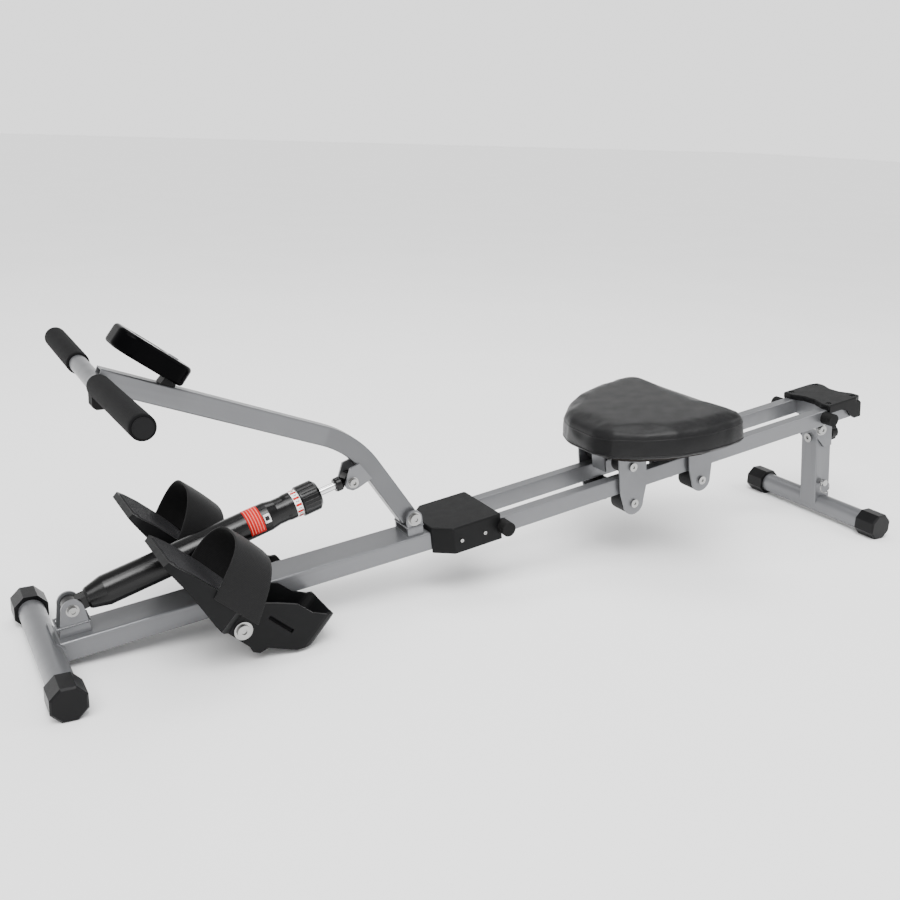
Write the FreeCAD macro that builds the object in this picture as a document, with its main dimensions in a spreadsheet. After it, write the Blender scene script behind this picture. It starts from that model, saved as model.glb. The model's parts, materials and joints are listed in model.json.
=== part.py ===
import FreeCAD, Part

import math
import os
import re

import Sketcher
from FreeCAD import Placement, Rotation, Vector

# Rowing machine with one hydraulic resistance cylinder, a swinging pull arm, twin rails with a
# rolling seat, two strapped foot plates and a folding rear leg.  Millimetres, +Z up, +X towards
# the rear leg, -Y is the user's right.  The origin is on the floor, in the middle of the machine.

SIZES = [
    # whole machine
    ("origin_x", 747.935), ("foot_spacing", 1492.15), ("axle_high", 24), ("wall", 1.8),
    # cross feet and their eight-sided end caps
    ("foot_r", 19), ("foot_half", 163), ("cap_flats", 48), ("cap_long", 42), ("cap_end", 167),
    ("cap_bevel", 2.5),
    # front beam
    ("beam_tilt", 7.03), ("beam_rise", 39.0), ("beam_wide", 60), ("beam_deep", 30),
    ("beam_from", 8), ("beam_to", 682), ("axle_x", 241), ("axle_r", 6),
    # twin rails
    ("rail_tilt", 8.34), ("rail_x", 601), ("rail_z", 113.1), ("rail_wide", 20), ("rail_deep", 30),
    ("rail_outer", 52.5), ("rail_from", 8), ("rail_to", 916),
    # joint cover
    ("cover_front", -20), ("cover_rear", 96), ("cover_half", 59), ("cover_nose", 32),
    ("cover_taper", 27), ("cover_top", 10), ("cover_low", -34), ("cover_skin", 2.6),
    # rubber stops
    ("stop_r", 12), ("stop_long", 23), ("stop_front", 99), ("stop_rear", 832), ("stop_drop", -14),
    # pull arm
    ("arm_wide", 26), ("arm_deep", 30), ("arm_front_x", 88), ("arm_front_z", 398.8),
    ("arm_bend_x", 455), ("arm_bend_z", 268.6), ("arm_low_x", 552), ("arm_low_z", 136),
    ("bend_r", 160), ("pivot_x", 556), ("pivot_z", 136), ("pivot_r", 6), ("sleeve_r", 11),
    ("ear_thick", 4), ("arm_ear_gap", 38), ("arm_ear_r", 13.5),
    # hydraulic cylinder, measured along its own axis from the front pivot
    ("tilt_hydraulic", 17.15), ("front_pin_x", 35), ("front_pin_z", 80.5), ("pin_span", 436.4),
    ("tube_r", 22), ("tube_from", 23), ("tube_full", 50), ("tube_end", 313), ("neck_r", 19.6),
    ("neck_to", 326), ("flange_r", 20.6), ("flange_from", 332), ("flange_to", 340),
    ("scale_r", 20.5), ("scale_to", 350.5), ("dial_r", 23.5), ("dial_from", 351), ("dial_to", 383),
    ("rod_r", 6), ("rod_hole", 6.2), ("piston_r", 16.6), ("chamber_r", 17), ("chamber_from", 62),
    ("chamber_to", 296), ("eye_r", 12.5), ("eye_wide", 22), ("ear_gap", 26), ("ear_r", 15.5),
    # handlebar, a shallow V
    ("bar_x", 86.9), ("bar_z", 391.9), ("bar_half", 266), ("bar_rise", 10.6), ("bar_lead", 3.4),
    ("bar_r", 12.5), ("grip_r", 15.8), ("grip_end", 269),
    # display
    ("pod_x", 158.3), ("pod_z", 424.7), ("pod_tilt", 35.4), ("pod_long", 112), ("pod_wide", 84),
    ("pod_thick", 29),
    # foot plates, in a frame on the pedal axle with X along the tread
    ("pedal_tilt", -40), ("pedal_in", 36), ("pedal_wide", 120), ("tread_high", 27),
    ("pedal_skin", 3.5), ("heel_wide", 84), ("heel_wall", 4.5), ("strap_from", -107),
    ("strap_to", -8), ("strap_low", 24), ("strap_rise", 80), ("strap_thick", 3),
    # seat and its carriage, along the rails
    ("seat_low", 46), ("seat_high", 98), ("board_high", 40), ("front_axle", 362),
    ("rear_axle", 515), ("upper_axle", 17), ("lower_axle", -51), ("upper_r", 16.7),
    ("lower_r", 20.5), ("roller_in", 22), ("roller_long", 32), ("side_in", 57), ("side_thick", 3),
    # rear leg, along the rails
    ("post_side", 40), ("post_at", 868.8), ("leg_axis", 854.6), ("leg_drop", -52.5),
    ("post_top", -36), ("foot_drop", -217.42), ("knob_drop", -74), ("knob_r", 19),
    # rear pad
    ("pad_from", 836), ("pad_to", 925), ("pad_half", 59), ("pad_top", 10), ("pad_waist", 9),
]

doc = FreeCAD.newDocument("rowing_machine")
sheet = doc.addObject("Spreadsheet::Sheet", "Sizes")
NAMES = re.compile(r"\b(" + "|".join(name for name, _ in SIZES) + r")\b")
nodes = []


def fill_sheet():
    for row, (name, number) in enumerate(SIZES, start=1):
        sheet.set("A%d" % row, name)
        sheet.set("B%d" % row, str(number))
        sheet.setAlias("B%d" % row, name)
    doc.recompute()


def bound(text):
    """A formula of plain size names as an expression on the sheet."""
    return NAMES.sub(r"Sizes.\1", str(text))


def number(text):
    """The present value of a formula of size names."""
    return float(sheet.evalExpression(bound(text)))


# ---------------------------------------------------------------- frames


def bench(x=0.0, y=0.0, z=0.0, tilt=0.0):
    """A frame at a point measured from the front axle, its X raised by tilt degrees."""
    turn = Rotation(Vector(0, 1, 0), -tilt)
    return Placement(Vector(x - number("origin_x"), y, z), turn)


def beam_frame():
    return bench(0, 0, number("beam_rise"), number("beam_tilt"))


def rail_frame():
    return bench(number("rail_x"), 0, number("rail_z"), number("rail_tilt"))


def cylinder_frame():
    return bench(number("front_pin_x"), 0, number("front_pin_z"), number("tilt_hydraulic"))


def pedal_frame(side):
    place = beam_frame() * Placement(Vector(number("axle_x"), 0, -number("beam_deep") / 2), Rotation())
    return bench(place.Base.x + number("origin_x"), side * number("pedal_in"), place.Base.z,
                 number("pedal_tilt"))


def pod_frame():
    return bench(number("pod_x"), 0, number("pod_z"), -number("pod_tilt"))


# ---------------------------------------------------------------- drawing helpers


def keep(item, label, place=None):
    """Name a finished sub-part and list it for export."""
    item.Label = label
    if place is not None:
        item.Placement = place
    nodes.append(item)
    return item


def new_body(label, place=None):
    body = doc.addObject("PartDesign::Body", label)
    return keep(body, label, place)


def sketch(body, role, offset="0"):
    """A sketch on one of the body's own origin planes, moved along the plane's normal."""
    drawing = body.newObject("Sketcher::SketchObject", body.Name + "_sketch")
    plane = [f for f in body.Origin.OriginFeatures if f.Role == role][0]
    drawing.AttachmentSupport = [(plane, "")]
    drawing.MapMode = "FlatFace"
    drawing.setExpression("AttachmentOffset.Base.z", bound(offset))
    return drawing


def pin(drawing, edge, spot, x, y):
    """Hold one end of an edge at a place worked out from the sheet."""
    for kind, text in (("DistanceX", x), ("DistanceY", y)):
        rule = Sketcher.Constraint(kind, -1, 1, edge, spot, number(text))
        index = drawing.addConstraint(rule)
        drawing.setExpression("Constraints[%d]" % index, bound(text))


def outline(drawing, points):
    """A closed outline of straight edges through points given as pairs of formulas."""
    first = drawing.GeometryCount
    total = len(points)
    spots = [Vector(number(x), number(y), 0) for x, y in points]
    for i in range(total):
        drawing.addGeometry(Part.LineSegment(spots[i], spots[(i + 1) % total]), False)
    for i in range(total):
        joined = Sketcher.Constraint("Coincident", first + i, 2, first + (i + 1) % total, 1)
        drawing.addConstraint(joined)
    for i, (x, y) in enumerate(points):
        pin(drawing, first + i, 1, x, y)
    return drawing


def ring(drawing, x, y, radius):
    """A circle with its centre and radius from the sheet."""
    shape = Part.Circle(Vector(number(x), number(y), 0), Vector(0, 0, 1), number(radius))
    edge = drawing.addGeometry(shape, False)
    pin(drawing, edge, 3, x, y)
    index = drawing.addConstraint(Sketcher.Constraint("Radius", edge, number(radius)))
    drawing.setExpression("Constraints[%d]" % index, bound(radius))
    return drawing


def rectangle(x0, x1, y0, y1):
    return [(x0, y0), (x1, y0), (x1, y1), (x0, y1)]


def pad(body, drawing, length, side="Symmetric", back=False):
    feature = body.newObject("PartDesign::Pad", body.Name + "_pad")
    feature.Profile = drawing
    feature.SideType = side
    feature.Reversed = back
    feature.setExpression("Length", bound(length))
    doc.recompute()
    return feature


def pocket(body, drawing, length, side="Symmetric", back=False):
    before = body.Shape.Volume
    feature = body.newObject("PartDesign::Pocket", body.Name + "_pocket")
    feature.Profile = drawing
    feature.SideType = side
    feature.Reversed = back
    feature.setExpression("Length", bound(length))
    doc.recompute()
    if body.Shape.Volume >= before - 0.01:
        raise ValueError("the pocket in %s cuts nothing" % body.Label)
    return feature


def spin(body, drawing, axis="H_Axis"):
    """A full turn of a profile about the sketch's own axis."""
    feature = body.newObject("PartDesign::Revolution", body.Name + "_turned")
    feature.Profile = drawing
    feature.ReferenceAxis = (drawing, [axis])
    feature.Angle = 360
    doc.recompute()
    return feature


def soften(body, base, chosen, radius, kind="PartDesign::Fillet"):
    """Round or bevel the edges of the last feature that a test picks out."""
    picked = ["Edge%d" % i for i, edge in enumerate(base.Shape.Edges, start=1) if chosen(edge)]
    feature = body.newObject(kind, body.Name + "_edge")
    feature.Base = (base, picked)
    feature.setExpression("Radius" if kind.endswith("Fillet") else "Size", bound(radius))
    doc.recompute()
    return feature


def ends_of(edge):
    return edge.Vertexes[0].Point, edge.Vertexes[-1].Point


def runs_along(edge, axis):
    """True for a straight edge parallel to X, Y or Z."""
    if len(edge.Vertexes) < 2:
        return False
    a, b = ends_of(edge)
    step = b.sub(a)
    rest = [abs(v) for i, v in enumerate(step) if i != "XYZ".index(axis)]
    return max(rest) < 1e-5 and step.Length > 1e-3


def near_point(edge, axis, x, y, reach=0.6):
    """True for an edge along an axis that passes a place, given in the other two axes."""
    if not runs_along(edge, axis):
        return False
    spot = [v for i, v in enumerate(ends_of(edge)[0]) if i != "XYZ".index(axis)]
    return math.hypot(spot[0] - x, spot[1] - y) < reach


def lies_at(edge, axis, level, slack=0.01):
    """True for an edge that lies wholly at one height along an axis."""
    box = edge.BoundBox
    low, high = {"X": (box.XMin, box.XMax), "Y": (box.YMin, box.YMax),
                 "Z": (box.ZMin, box.ZMax)}[axis]
    return abs(low - level) < slack and abs(high - level) < slack


def rod(name, axis, radius, length, x="0", y="0", z="0"):
    """A cylinder centred on a point, lying along X, Y or Z."""
    item = doc.addObject("Part::Cylinder", name)
    item.setExpression("Radius", bound(radius))
    item.setExpression("Height", bound(length))
    turns = {"X": (Vector(0, 1, 0), 90), "Y": (Vector(1, 0, 0), -90), "Z": (Vector(0, 0, 1), 0)}
    item.Placement.Rotation = Rotation(*turns[axis])
    for letter, text in zip("XYZ", (x, y, z)):
        half = " - (%s) / 2" % length if letter == axis else ""
        item.setExpression("Placement.Base." + letter.lower(), bound("(%s)%s" % (text, half)))
    return item


def block(name, x, y, z, long, wide, high):
    """A box from its low corner."""
    item = doc.addObject("Part::Box", name)
    for prop, text in (("Length", long), ("Width", wide), ("Height", high)):
        item.setExpression(prop, bound(text))
    for letter, text in zip("xyz", (x, y, z)):
        item.setExpression("Placement.Base." + letter, bound(text))
    return item


def fused(name, items):
    item = doc.addObject("Part::MultiFuse", name)
    item.Shapes = items
    return item


def cut(name, base, tool):
    item = doc.addObject("Part::Cut", name)
    item.Base = base
    item.Tool = tool
    return item


def together(name, items):
    item = doc.addObject("Part::Compound", name)
    item.Links = items
    return item


# ---------------------------------------------------------------- cross feet


def cross_foot(label, place):
    outer = rod(label + "_outer", "Y", "foot_r", "foot_half * 2")
    inner = rod(label + "_inner", "Y", "foot_r - wall", "foot_half * 2")
    keep(cut(label, outer, inner), label, place)


def foot_cap(label, side, place):
    """Eight-sided cap with a flat facet down, a bevelled closed end and a round socket."""
    body = new_body(label, place)
    flat = "cap_flats / 2"
    short = "cap_flats / 2 * tan(22.5)"
    corners = [(short, flat), (flat, short), (flat, "-" + short), (short, "-" + flat),
               ("-" + short, "-" + flat), ("-" + flat, "-" + short), ("-" + flat, short),
               ("-" + short, flat)]
    offset = "cap_end - cap_long" if side < 0 else "0 - cap_end"
    solid = pad(body, outline(sketch(body, "XZ_Plane", offset), corners), "cap_long", "One side")
    end = -number("cap_end") if side < 0 else number("cap_end")
    soften(body, solid, lambda e: lies_at(e, "Y", end), "cap_bevel", "PartDesign::Chamfer")
    socket = sketch(body, "XZ_Plane", "cap_end - cap_long" if side < 0 else "cap_long - cap_end")
    ring(socket, "0", "0", "foot_r + 0.1")
    pocket(body, socket, "cap_long - 3.5", "One side", back=side < 0)


# ---------------------------------------------------------------- front beam and its brackets


def front_beam():
    body = new_body("front_beam", beam_frame())
    side = outline(sketch(body, "XZ_Plane"), rectangle("beam_from", "beam_to", "0 - beam_deep", "0"))
    solid = pad(body, side, "beam_wide")
    soften(body, solid, lambda e: runs_along(e, "X"), "3")
    hollow = outline(sketch(body, "XZ_Plane"),
                     rectangle("beam_from - 1", "beam_to + 1", "wall - beam_deep", "0 - wall"))
    pocket(body, hollow, "beam_wide - wall * 2")
    axle = ring(sketch(body, "XZ_Plane"), "axle_x", "0 - beam_deep / 2", "axle_r + 0.05")
    pocket(body, axle, "beam_wide + 2")
    notch = sketch(body, "XZ_Plane")
    tilt = "beam_tilt"
    ring(notch, "(axle_high - beam_rise) * sin(%s)" % tilt, "(axle_high - beam_rise) * cos(%s)" % tilt,
         "foot_r + 0.1")
    pocket(body, notch, "beam_wide + 2")


def foot_saddle():
    """Curved collar that backs the weld between the beam and the front foot."""
    body = new_body("foot_saddle", bench(0, 0, number("axle_high")))
    rim = sketch(body, "XZ_Plane")
    ring(rim, "0", "0", "foot_r + 3.1")
    ring(rim, "0", "0", "foot_r + 0.1")
    pad(body, rim, "beam_wide + 10")
    gap = outline(sketch(body, "XZ_Plane"), rectangle("0 - 40", "7", "0 - 40", "40"))
    pocket(body, gap, "beam_wide + 12")
    slot = outline(sketch(body, "XZ_Plane"),
                   [("0", "16 - 32"), ("60", "16 - 24.6"), ("60", "27"), ("0", "15.4")])
    pocket(body, slot, "beam_wide + 0.4")


def two_ears(label, place, foot_x, reach, pin_z, radius, gap, hole):
    """U bracket: a base plate and two round-topped ears, with the pin hole at X 0."""
    body = new_body(label, place)
    side = outline(sketch(body, "XZ_Plane"),
                   [("-(%s)" % foot_x, "0"), (reach, "0"), (radius, pin_z), ("-(%s)" % radius, pin_z)])
    web = pad(body, side, "%s + ear_thick * 2" % gap)
    crown = ring(sketch(body, "XZ_Plane"), "0", pin_z, radius)
    pad(body, crown, "%s + ear_thick * 2" % gap)
    inside = outline(sketch(body, "XZ_Plane"),
                     rectangle("-(%s) - 1" % foot_x, "(%s) + 1" % reach, "ear_thick",
                               "(%s) + (%s) + 1" % (pin_z, radius)))
    pocket(body, inside, gap)
    bore = ring(sketch(body, "XZ_Plane"), "0", pin_z, hole)
    pocket(body, bore, "%s + ear_thick * 2 + 2" % gap)
    return web


def on_beam(x, z):
    """Distance along the beam, and height above its top, of a place seen from the side."""
    turn = math.radians(number("beam_tilt"))
    rise = z - number("beam_rise")
    return x * math.cos(turn) + rise * math.sin(turn), rise * math.cos(turn) - x * math.sin(turn)


def bracket_on_beam(label, x, z, foot_x, reach, radius, gap, hole):
    along, high = on_beam(x, z)
    place = beam_frame() * Placement(Vector(along, 0, 0), Rotation())
    two_ears(label, place, foot_x, reach, "%.4f" % high, radius, gap, hole)


def cross_bolt(label, place, span, radius="pivot_r - 0.05", head_r="9", head="5", nut_r="9.5"):
    """Bolt along Y with a round socket head on the right side and a six-sided nut on the left."""
    shank = rod(label + "_shank", "Y", radius, "%s + 6" % span)
    cap = rod(label + "_cap", "Y", head_r, head, y="0 - (%s) / 2 - (%s) / 2 - 0.6" % (span, head))
    socket = rod(label + "_socket", "Y", "3.2", "3", y="0 - (%s) / 2 - (%s) - 0.6" % (span, head))
    nut = doc.addObject("Part::Prism", label + "_nut")
    nut.Polygon = 6
    nut.setExpression("Circumradius", bound(nut_r))
    nut.Height = 6
    nut.Placement.Rotation = Rotation(Vector(1, 0, 0), -90)
    nut.setExpression("Placement.Base.y", bound("(%s) / 2 + 0.6" % span))
    washers = [rod(label + "_washer%d" % i, "Y", "(%s) + 2.5" % head_r, "0.6",
                   y="(%s) * ((%s) / 2 + 0.3)" % (sign, span)) for i, sign in enumerate(("-1", "1"))]
    whole = fused(label + "_whole", [shank, cap, nut] + washers)
    return keep(cut(label, whole, socket), label, place)


def pedal_axle():
    """Through axle with a large washer and a socket bolt head at each end."""
    reach = "pedal_in + heel_wide + 0.3"
    items = [rod("axle_bar", "Y", "axle_r", "(%s) * 2" % reach)]
    for i, sign in enumerate(("-1", "1")):
        items.append(rod("axle_washer%d" % i, "Y", "13.5", "1.5", y="%s * (%s + 0.75)" % (sign, reach)))
        items.append(rod("axle_head%d" % i, "Y", "9.5", "4", y="%s * (%s + 3.4)" % (sign, reach)))
        items.append(rod("axle_collar%d" % i, "Y", "11", "5.2", y="%s * (beam_wide / 2 + 2.9)" % sign))
    whole = fused("axle_whole", items)
    sockets = [rod("axle_socket%d" % i, "Y", "4", "3", y="%s * (%s + 4.9)" % (sign, reach))
               for i, sign in enumerate(("-1", "1"))]
    place = beam_frame() * Placement(Vector(number("axle_x"), 0, -number("beam_deep") / 2), Rotation())
    keep(cut("pedal_axle", whole, fused("axle_sockets", sockets)), "pedal_axle", place)


# ---------------------------------------------------------------- rails and cover


def rail(label, side):
    low = "rail_outer - rail_wide" if side > 0 else "0 - rail_outer"
    outer = block(label + "_outer", "rail_from", low, "0 - rail_deep", "rail_to - rail_from",
                  "rail_wide", "rail_deep")
    rounded = doc.addObject("Part::Fillet", label + "_rounded")
    rounded.Base = outer
    doc.recompute()
    edges = [i for i, e in enumerate(outer.Shape.Edges, start=1) if runs_along(e, "X")]
    rounded.Edges = [(i, 2.0, 2.0) for i in edges]
    inner = block(label + "_inner", "rail_from - 1", "%s + wall" % low, "wall - rail_deep",
                  "rail_to - rail_from + 2", "rail_wide - wall * 2", "rail_deep - wall * 2")
    keep(cut(label, rounded, inner), label, rail_frame())


def rail_crossmember():
    """Box section that closes the gap between the rails at the rear."""
    gap = "rail_outer - rail_wide"
    outer = block("cross_outer", "pad_from + 10", "0 - (%s)" % gap, "0 - rail_deep", "50",
                  "(%s) * 2" % gap, "rail_deep")
    inner = block("cross_inner", "pad_from + 10 + wall", "0 - (%s) - 1" % gap, "wall - rail_deep",
                  "50 - wall * 2", "(%s) * 2 + 2" % gap, "rail_deep - wall * 2")
    keep(cut("rail_crossmember", outer, inner), "rail_crossmember", rail_frame())


def cover_outline(inset):
    """Plan of the joint cover: square at the rear, with the front corners cut off."""
    half = "(cover_half - %s)" % inset
    nose = "(cover_nose - %s * 0.42)" % inset
    front = "cover_front + %s" % inset
    slope = "cover_front + cover_taper + %s * 0.42" % inset
    rear = "cover_rear - %s" % inset
    return [(front, "0 - " + nose), (slope, "0 - " + half), (rear, "0 - " + half), (rear, half),
            (slope, half), (front, nose)]


def joint_cover():
    body = new_body("joint_cover", rail_frame())
    plan = outline(sketch(body, "XY_Plane", "cover_low"), cover_outline("0"))
    solid = pad(body, plan, "cover_top - cover_low", "One side")
    top = number("cover_top")
    solid = soften(body, solid, lambda e: runs_along(e, "Z"), "5")
    soften(body, solid, lambda e: lies_at(e, "Z", top), "2.5")
    room = outline(sketch(body, "XY_Plane", "cover_low - 1"), cover_outline("cover_skin"))
    pocket(body, room, "cover_top - cover_low + 1 - cover_skin", "One side", back=True)
    beam_way = outline(sketch(body, "YZ_Plane", "cover_front + 4"),
                       rectangle("0 - 30.4", "30.4", "cover_low - 1", "1.4"))
    pocket(body, beam_way, "16")
    for sign in ("-1", "1"):
        near = "%s * (rail_outer - rail_wide - 0.4)" % sign
        far = "%s * (rail_outer + 0.4)" % sign
        way = outline(sketch(body, "YZ_Plane", "cover_rear"),
                      rectangle(near, far, "cover_low - 1", "0.4"))
        pocket(body, way, "16")
    for side in ("rail_outer + 4", "0 - rail_outer - 4"):
        notch = ring(sketch(body, "XZ_Plane", side), "stop_front", "stop_drop", "stop_r + 0.4")
        pocket(body, notch, "8")


def junction_spacers():
    """Welded side plates that fill the gap between the beam and the rails inside the cover."""
    items = []
    for i, sign in enumerate(("1", "(0 - 1)")):
        low = "30.02" if sign == "1" else "0 - 32.48"
        items.append(block("spacer%d" % i, "10", low, "3 - rail_deep", "66", "2.46", "rail_deep - 6"))
    keep(together("junction_spacers", items), "junction_spacers", rail_frame())


def small_screw(name, x, y, z, axis, sign, head_r="4.2"):
    """Pan head with a crosswise slot, standing 2 mm proud of its face."""
    letter = axis.lower()
    spots = {"x": x, "y": y, "z": z}
    head_spots = dict(spots)
    head_spots[letter] = "(%s) + %s * 1" % (spots[letter], sign)
    head = rod(name + "_head", axis, head_r, "2", **head_spots)
    shank_spots = dict(spots)
    shank_spots[letter] = "(%s) - %s * 1" % (spots[letter], sign)
    shank = rod(name + "_shank", axis, "2", "2", **shank_spots)
    dent_spots = dict(spots)
    dent_spots[letter] = "(%s) + %s * 1.8" % (spots[letter], sign)
    dent = rod(name + "_dent", axis, "(%s) * 0.4" % head_r, "1", **dent_spots)
    return cut(name, fused(name + "_whole", [head, shank]), dent)


def cover_screws():
    items = []
    for i, along in enumerate(("20", "63")):
        for j, sign in enumerate(("-1", "1")):
            items.append(small_screw("cover_screw%d%d" % (i, j), along, "%s * cover_half" % sign,
                                     "0 - 14", "Y", sign, "3"))
    keep(together("cover_screws", items), "cover_screws", rail_frame())


def rail_stops():
    """Rubber buffers on the outer sides of the rails that end the seat's travel."""
    items = []
    for i, along in enumerate(("stop_front", "stop_rear")):
        for j, sign in enumerate(("-1", "1")):
            items.append(rod("stop%d%d" % (i, j), "Y", "stop_r", "stop_long", along,
                             "%s * (rail_outer + stop_long / 2)" % sign, "stop_drop"))
    keep(together("rail_stops", items), "rail_stops", rail_frame())


# ---------------------------------------------------------------- pull arm


def arm_tube():
    """Bent box section with a sleeve for the pivot bolt at its lower end."""
    body = new_body("arm_tube", bench())
    upper = math.atan2(number("arm_front_z - arm_bend_z"), number("arm_bend_x - arm_front_x"))
    lower = math.atan2(number("arm_bend_z - arm_low_z"), number("arm_low_x - arm_bend_x"))
    half = number("arm_deep") / 2
    miter = half / math.cos((lower - upper) / 2)
    middle = (upper + lower) / 2
    over = "arm_deep / 2 * %.6f"
    off_x, off_z = miter * math.sin(middle), miter * math.cos(middle)
    top = ("arm_bend_x + %.4f" % off_x, "arm_bend_z + %.4f" % off_z)
    low = ("arm_bend_x - %.4f" % off_x, "arm_bend_z - %.4f" % off_z)
    up_x, up_z = over % math.sin(upper), over % math.cos(upper)
    dn_x, dn_z = over % math.sin(lower), over % math.cos(lower)
    side = [("arm_front_x - " + up_x, "arm_front_z - " + up_z), low,
            ("arm_low_x - " + dn_x, "arm_low_z - " + dn_z),
            ("arm_low_x + " + dn_x, "arm_low_z + " + dn_z), top,
            ("arm_front_x + " + up_x, "arm_front_z + " + up_z)]
    solid = pad(body, outline(sketch(body, "XZ_Plane"), side), "arm_wide")
    for corner, radius in ((top, "bend_r + arm_deep / 2"), (low, "bend_r - arm_deep / 2")):
        x, z = number(corner[0]), number(corner[1])
        solid = soften(body, solid, lambda e: near_point(e, "Y", x, z), radius)
    flank = number("arm_wide") / 2
    on_flank = lambda e: lies_at(e, "Y", flank) or lies_at(e, "Y", -flank)
    solid = soften(body, solid, lambda e: e.Length > 40 and on_flank(e), "2.5")
    shell = body.newObject("PartDesign::Thickness", "arm_tube_wall")
    ends = []
    for i, face in enumerate(solid.Shape.Faces, start=1):
        spot = face.CenterOfMass
        at_front = math.hypot(spot.x - number("arm_front_x"), spot.z - number("arm_front_z")) < 2
        at_low = math.hypot(spot.x - number("arm_low_x"), spot.z - number("arm_low_z")) < 2
        if at_front or at_low:
            ends.append("Face%d" % i)
    shell.Base = (solid, ends)
    shell.Reversed = True
    shell.setExpression("Value", bound("wall"))
    doc.recompute()
    pad(body, ring(sketch(body, "XZ_Plane"), "pivot_x", "pivot_z", "sleeve_r"), "arm_ear_gap - 1")
    pocket(body, ring(sketch(body, "XZ_Plane"), "pivot_x", "pivot_z", "pivot_r + 0.03"), "arm_ear_gap + 4")
    bar = ring(sketch(body, "XZ_Plane"), "bar_x", "bar_z", "bar_r + 0.15")
    pocket(body, bar, "arm_wide + 4")


def bar_half_solid(name, sign, radius, start, stop):
    """Round bar along one arm of the V, between two distances from the middle."""
    lean = Vector(-number("bar_lead"), sign * number("bar_half"), number("bar_rise"))
    item = doc.addObject("Part::Cylinder", name)
    item.setExpression("Radius", bound(radius))
    item.setExpression("Height", bound("(%s) - (%s)" % (stop, start)))
    turn = Rotation(Vector(0, 0, 1), lean)
    middle = Vector(number("bar_x"), 0, number("bar_z"))
    unit = Vector(lean).normalize()
    item.Placement = Placement(middle + unit * number(start), turn)
    return item


def bar_shell(name, radius, reach):
    """Round solid through three circles: the two ends of the V and its middle."""
    circles = []
    for i, part in enumerate((-1, 0, 1)):
        circle = doc.addObject("Part::Circle", "%s_circle%d" % (name, i))
        circle.setExpression("Radius", bound(radius))
        circle.Placement.Rotation = Rotation(Vector(1, 0, 0), -90)
        share = "(%s) / bar_half" % reach if part else "0"
        circle.setExpression("Placement.Base.x", bound("bar_x - bar_lead * %s" % share))
        circle.setExpression("Placement.Base.y", bound("%d * (%s)" % (part, reach)))
        circle.setExpression("Placement.Base.z", bound("bar_z + bar_rise * %s" % share))
        circles.append(circle)
    solid = doc.addObject("Part::Loft", name)
    solid.Sections = circles
    solid.Solid = True
    solid.Ruled = True
    return solid


def handlebar():
    outer = bar_shell("bar_outer", "bar_r", "bar_half")
    inner = bar_shell("bar_inner", "bar_r - wall", "bar_half + 1")
    keep(cut("handlebar", outer, inner), "handlebar", bench())


def grip(label, sign, start):
    """Foam tube over the end of the bar."""
    outer = bar_half_solid(label + "_outer", sign, "grip_r", start, "grip_end")
    inner = bar_half_solid(label + "_inner", sign, "bar_r + 0.1", "%s - 1" % start, "grip_end + 1")
    rounded = doc.addObject("Part::Fillet", label + "_round")
    rounded.Base = outer
    doc.recompute()
    rims = [i for i, e in enumerate(outer.Shape.Edges, start=1) if len(e.Vertexes) == 1]
    rounded.Edges = [(i, 2.5, 2.5) for i in rims]
    keep(cut(label, rounded, inner), label, bench())


def bar_plugs():
    items = []
    for i, sign in enumerate((-1, 1)):
        plug = bar_half_solid("plug%d" % i, sign, "bar_r - wall - 0.15", "bar_half - 18", "bar_half + 1")
        head = bar_half_solid("plug_head%d" % i, sign, "bar_r", "bar_half + 1", "bar_half + 3.6")
        items.append(fused("plug_whole%d" % i, [plug, head]))
    keep(together("bar_plugs", items), "bar_plugs", bench())


def arm_bumper():
    """Rubber block under the arm's front end, which lands on the front foot when the arm is down."""
    body = new_body("arm_bumper", bench())
    side = [("bar_x - 8", "bar_z - 9"), ("bar_x - 8", "bar_z - 30"), ("bar_x - 3", "bar_z - 34"),
            ("bar_x + 10", "bar_z - 34"), ("bar_x + 17", "bar_z - 27"), ("bar_x + 17.5", "bar_z - 16")]
    solid = pad(body, outline(sketch(body, "XZ_Plane"), side), "arm_wide - 2")
    low = number("bar_z") - 26
    soften(body, solid, lambda e: runs_along(e, "Y") and ends_of(e)[0].z < low, "2")
    clear = ring(sketch(body, "XZ_Plane"), "bar_x", "bar_z", "bar_r + 0.2")
    pocket(body, clear, "arm_wide")


def rod_bracket():
    """Two ears under the bend of the arm that carry the end of the piston rod."""
    body = new_body("rod_bracket", cylinder_frame())
    end = "pin_span"
    side = [("%s - 13" % end, "0"), ("%s - 12" % end, "0 - 6"), ("%s - 4" % end, "0 - 12.5"),
            ("%s + 5" % end, "0 - 12.5"), ("%s + 31" % end, "0 - 7"), ("%s + 18" % end, "24"),
            ("%s + 2" % end, "23")]
    pad(body, outline(sketch(body, "XZ_Plane"), side), "ear_gap + ear_thick * 2")
    inside = outline(sketch(body, "XZ_Plane"), rectangle("%s - 60" % end, "%s + 60" % end, "0 - 40", "60"))
    pocket(body, inside, "ear_gap")
    pocket(body, ring(sketch(body, "XZ_Plane"), end, "0", "pivot_r"), "ear_gap + ear_thick * 2 + 2")


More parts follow.
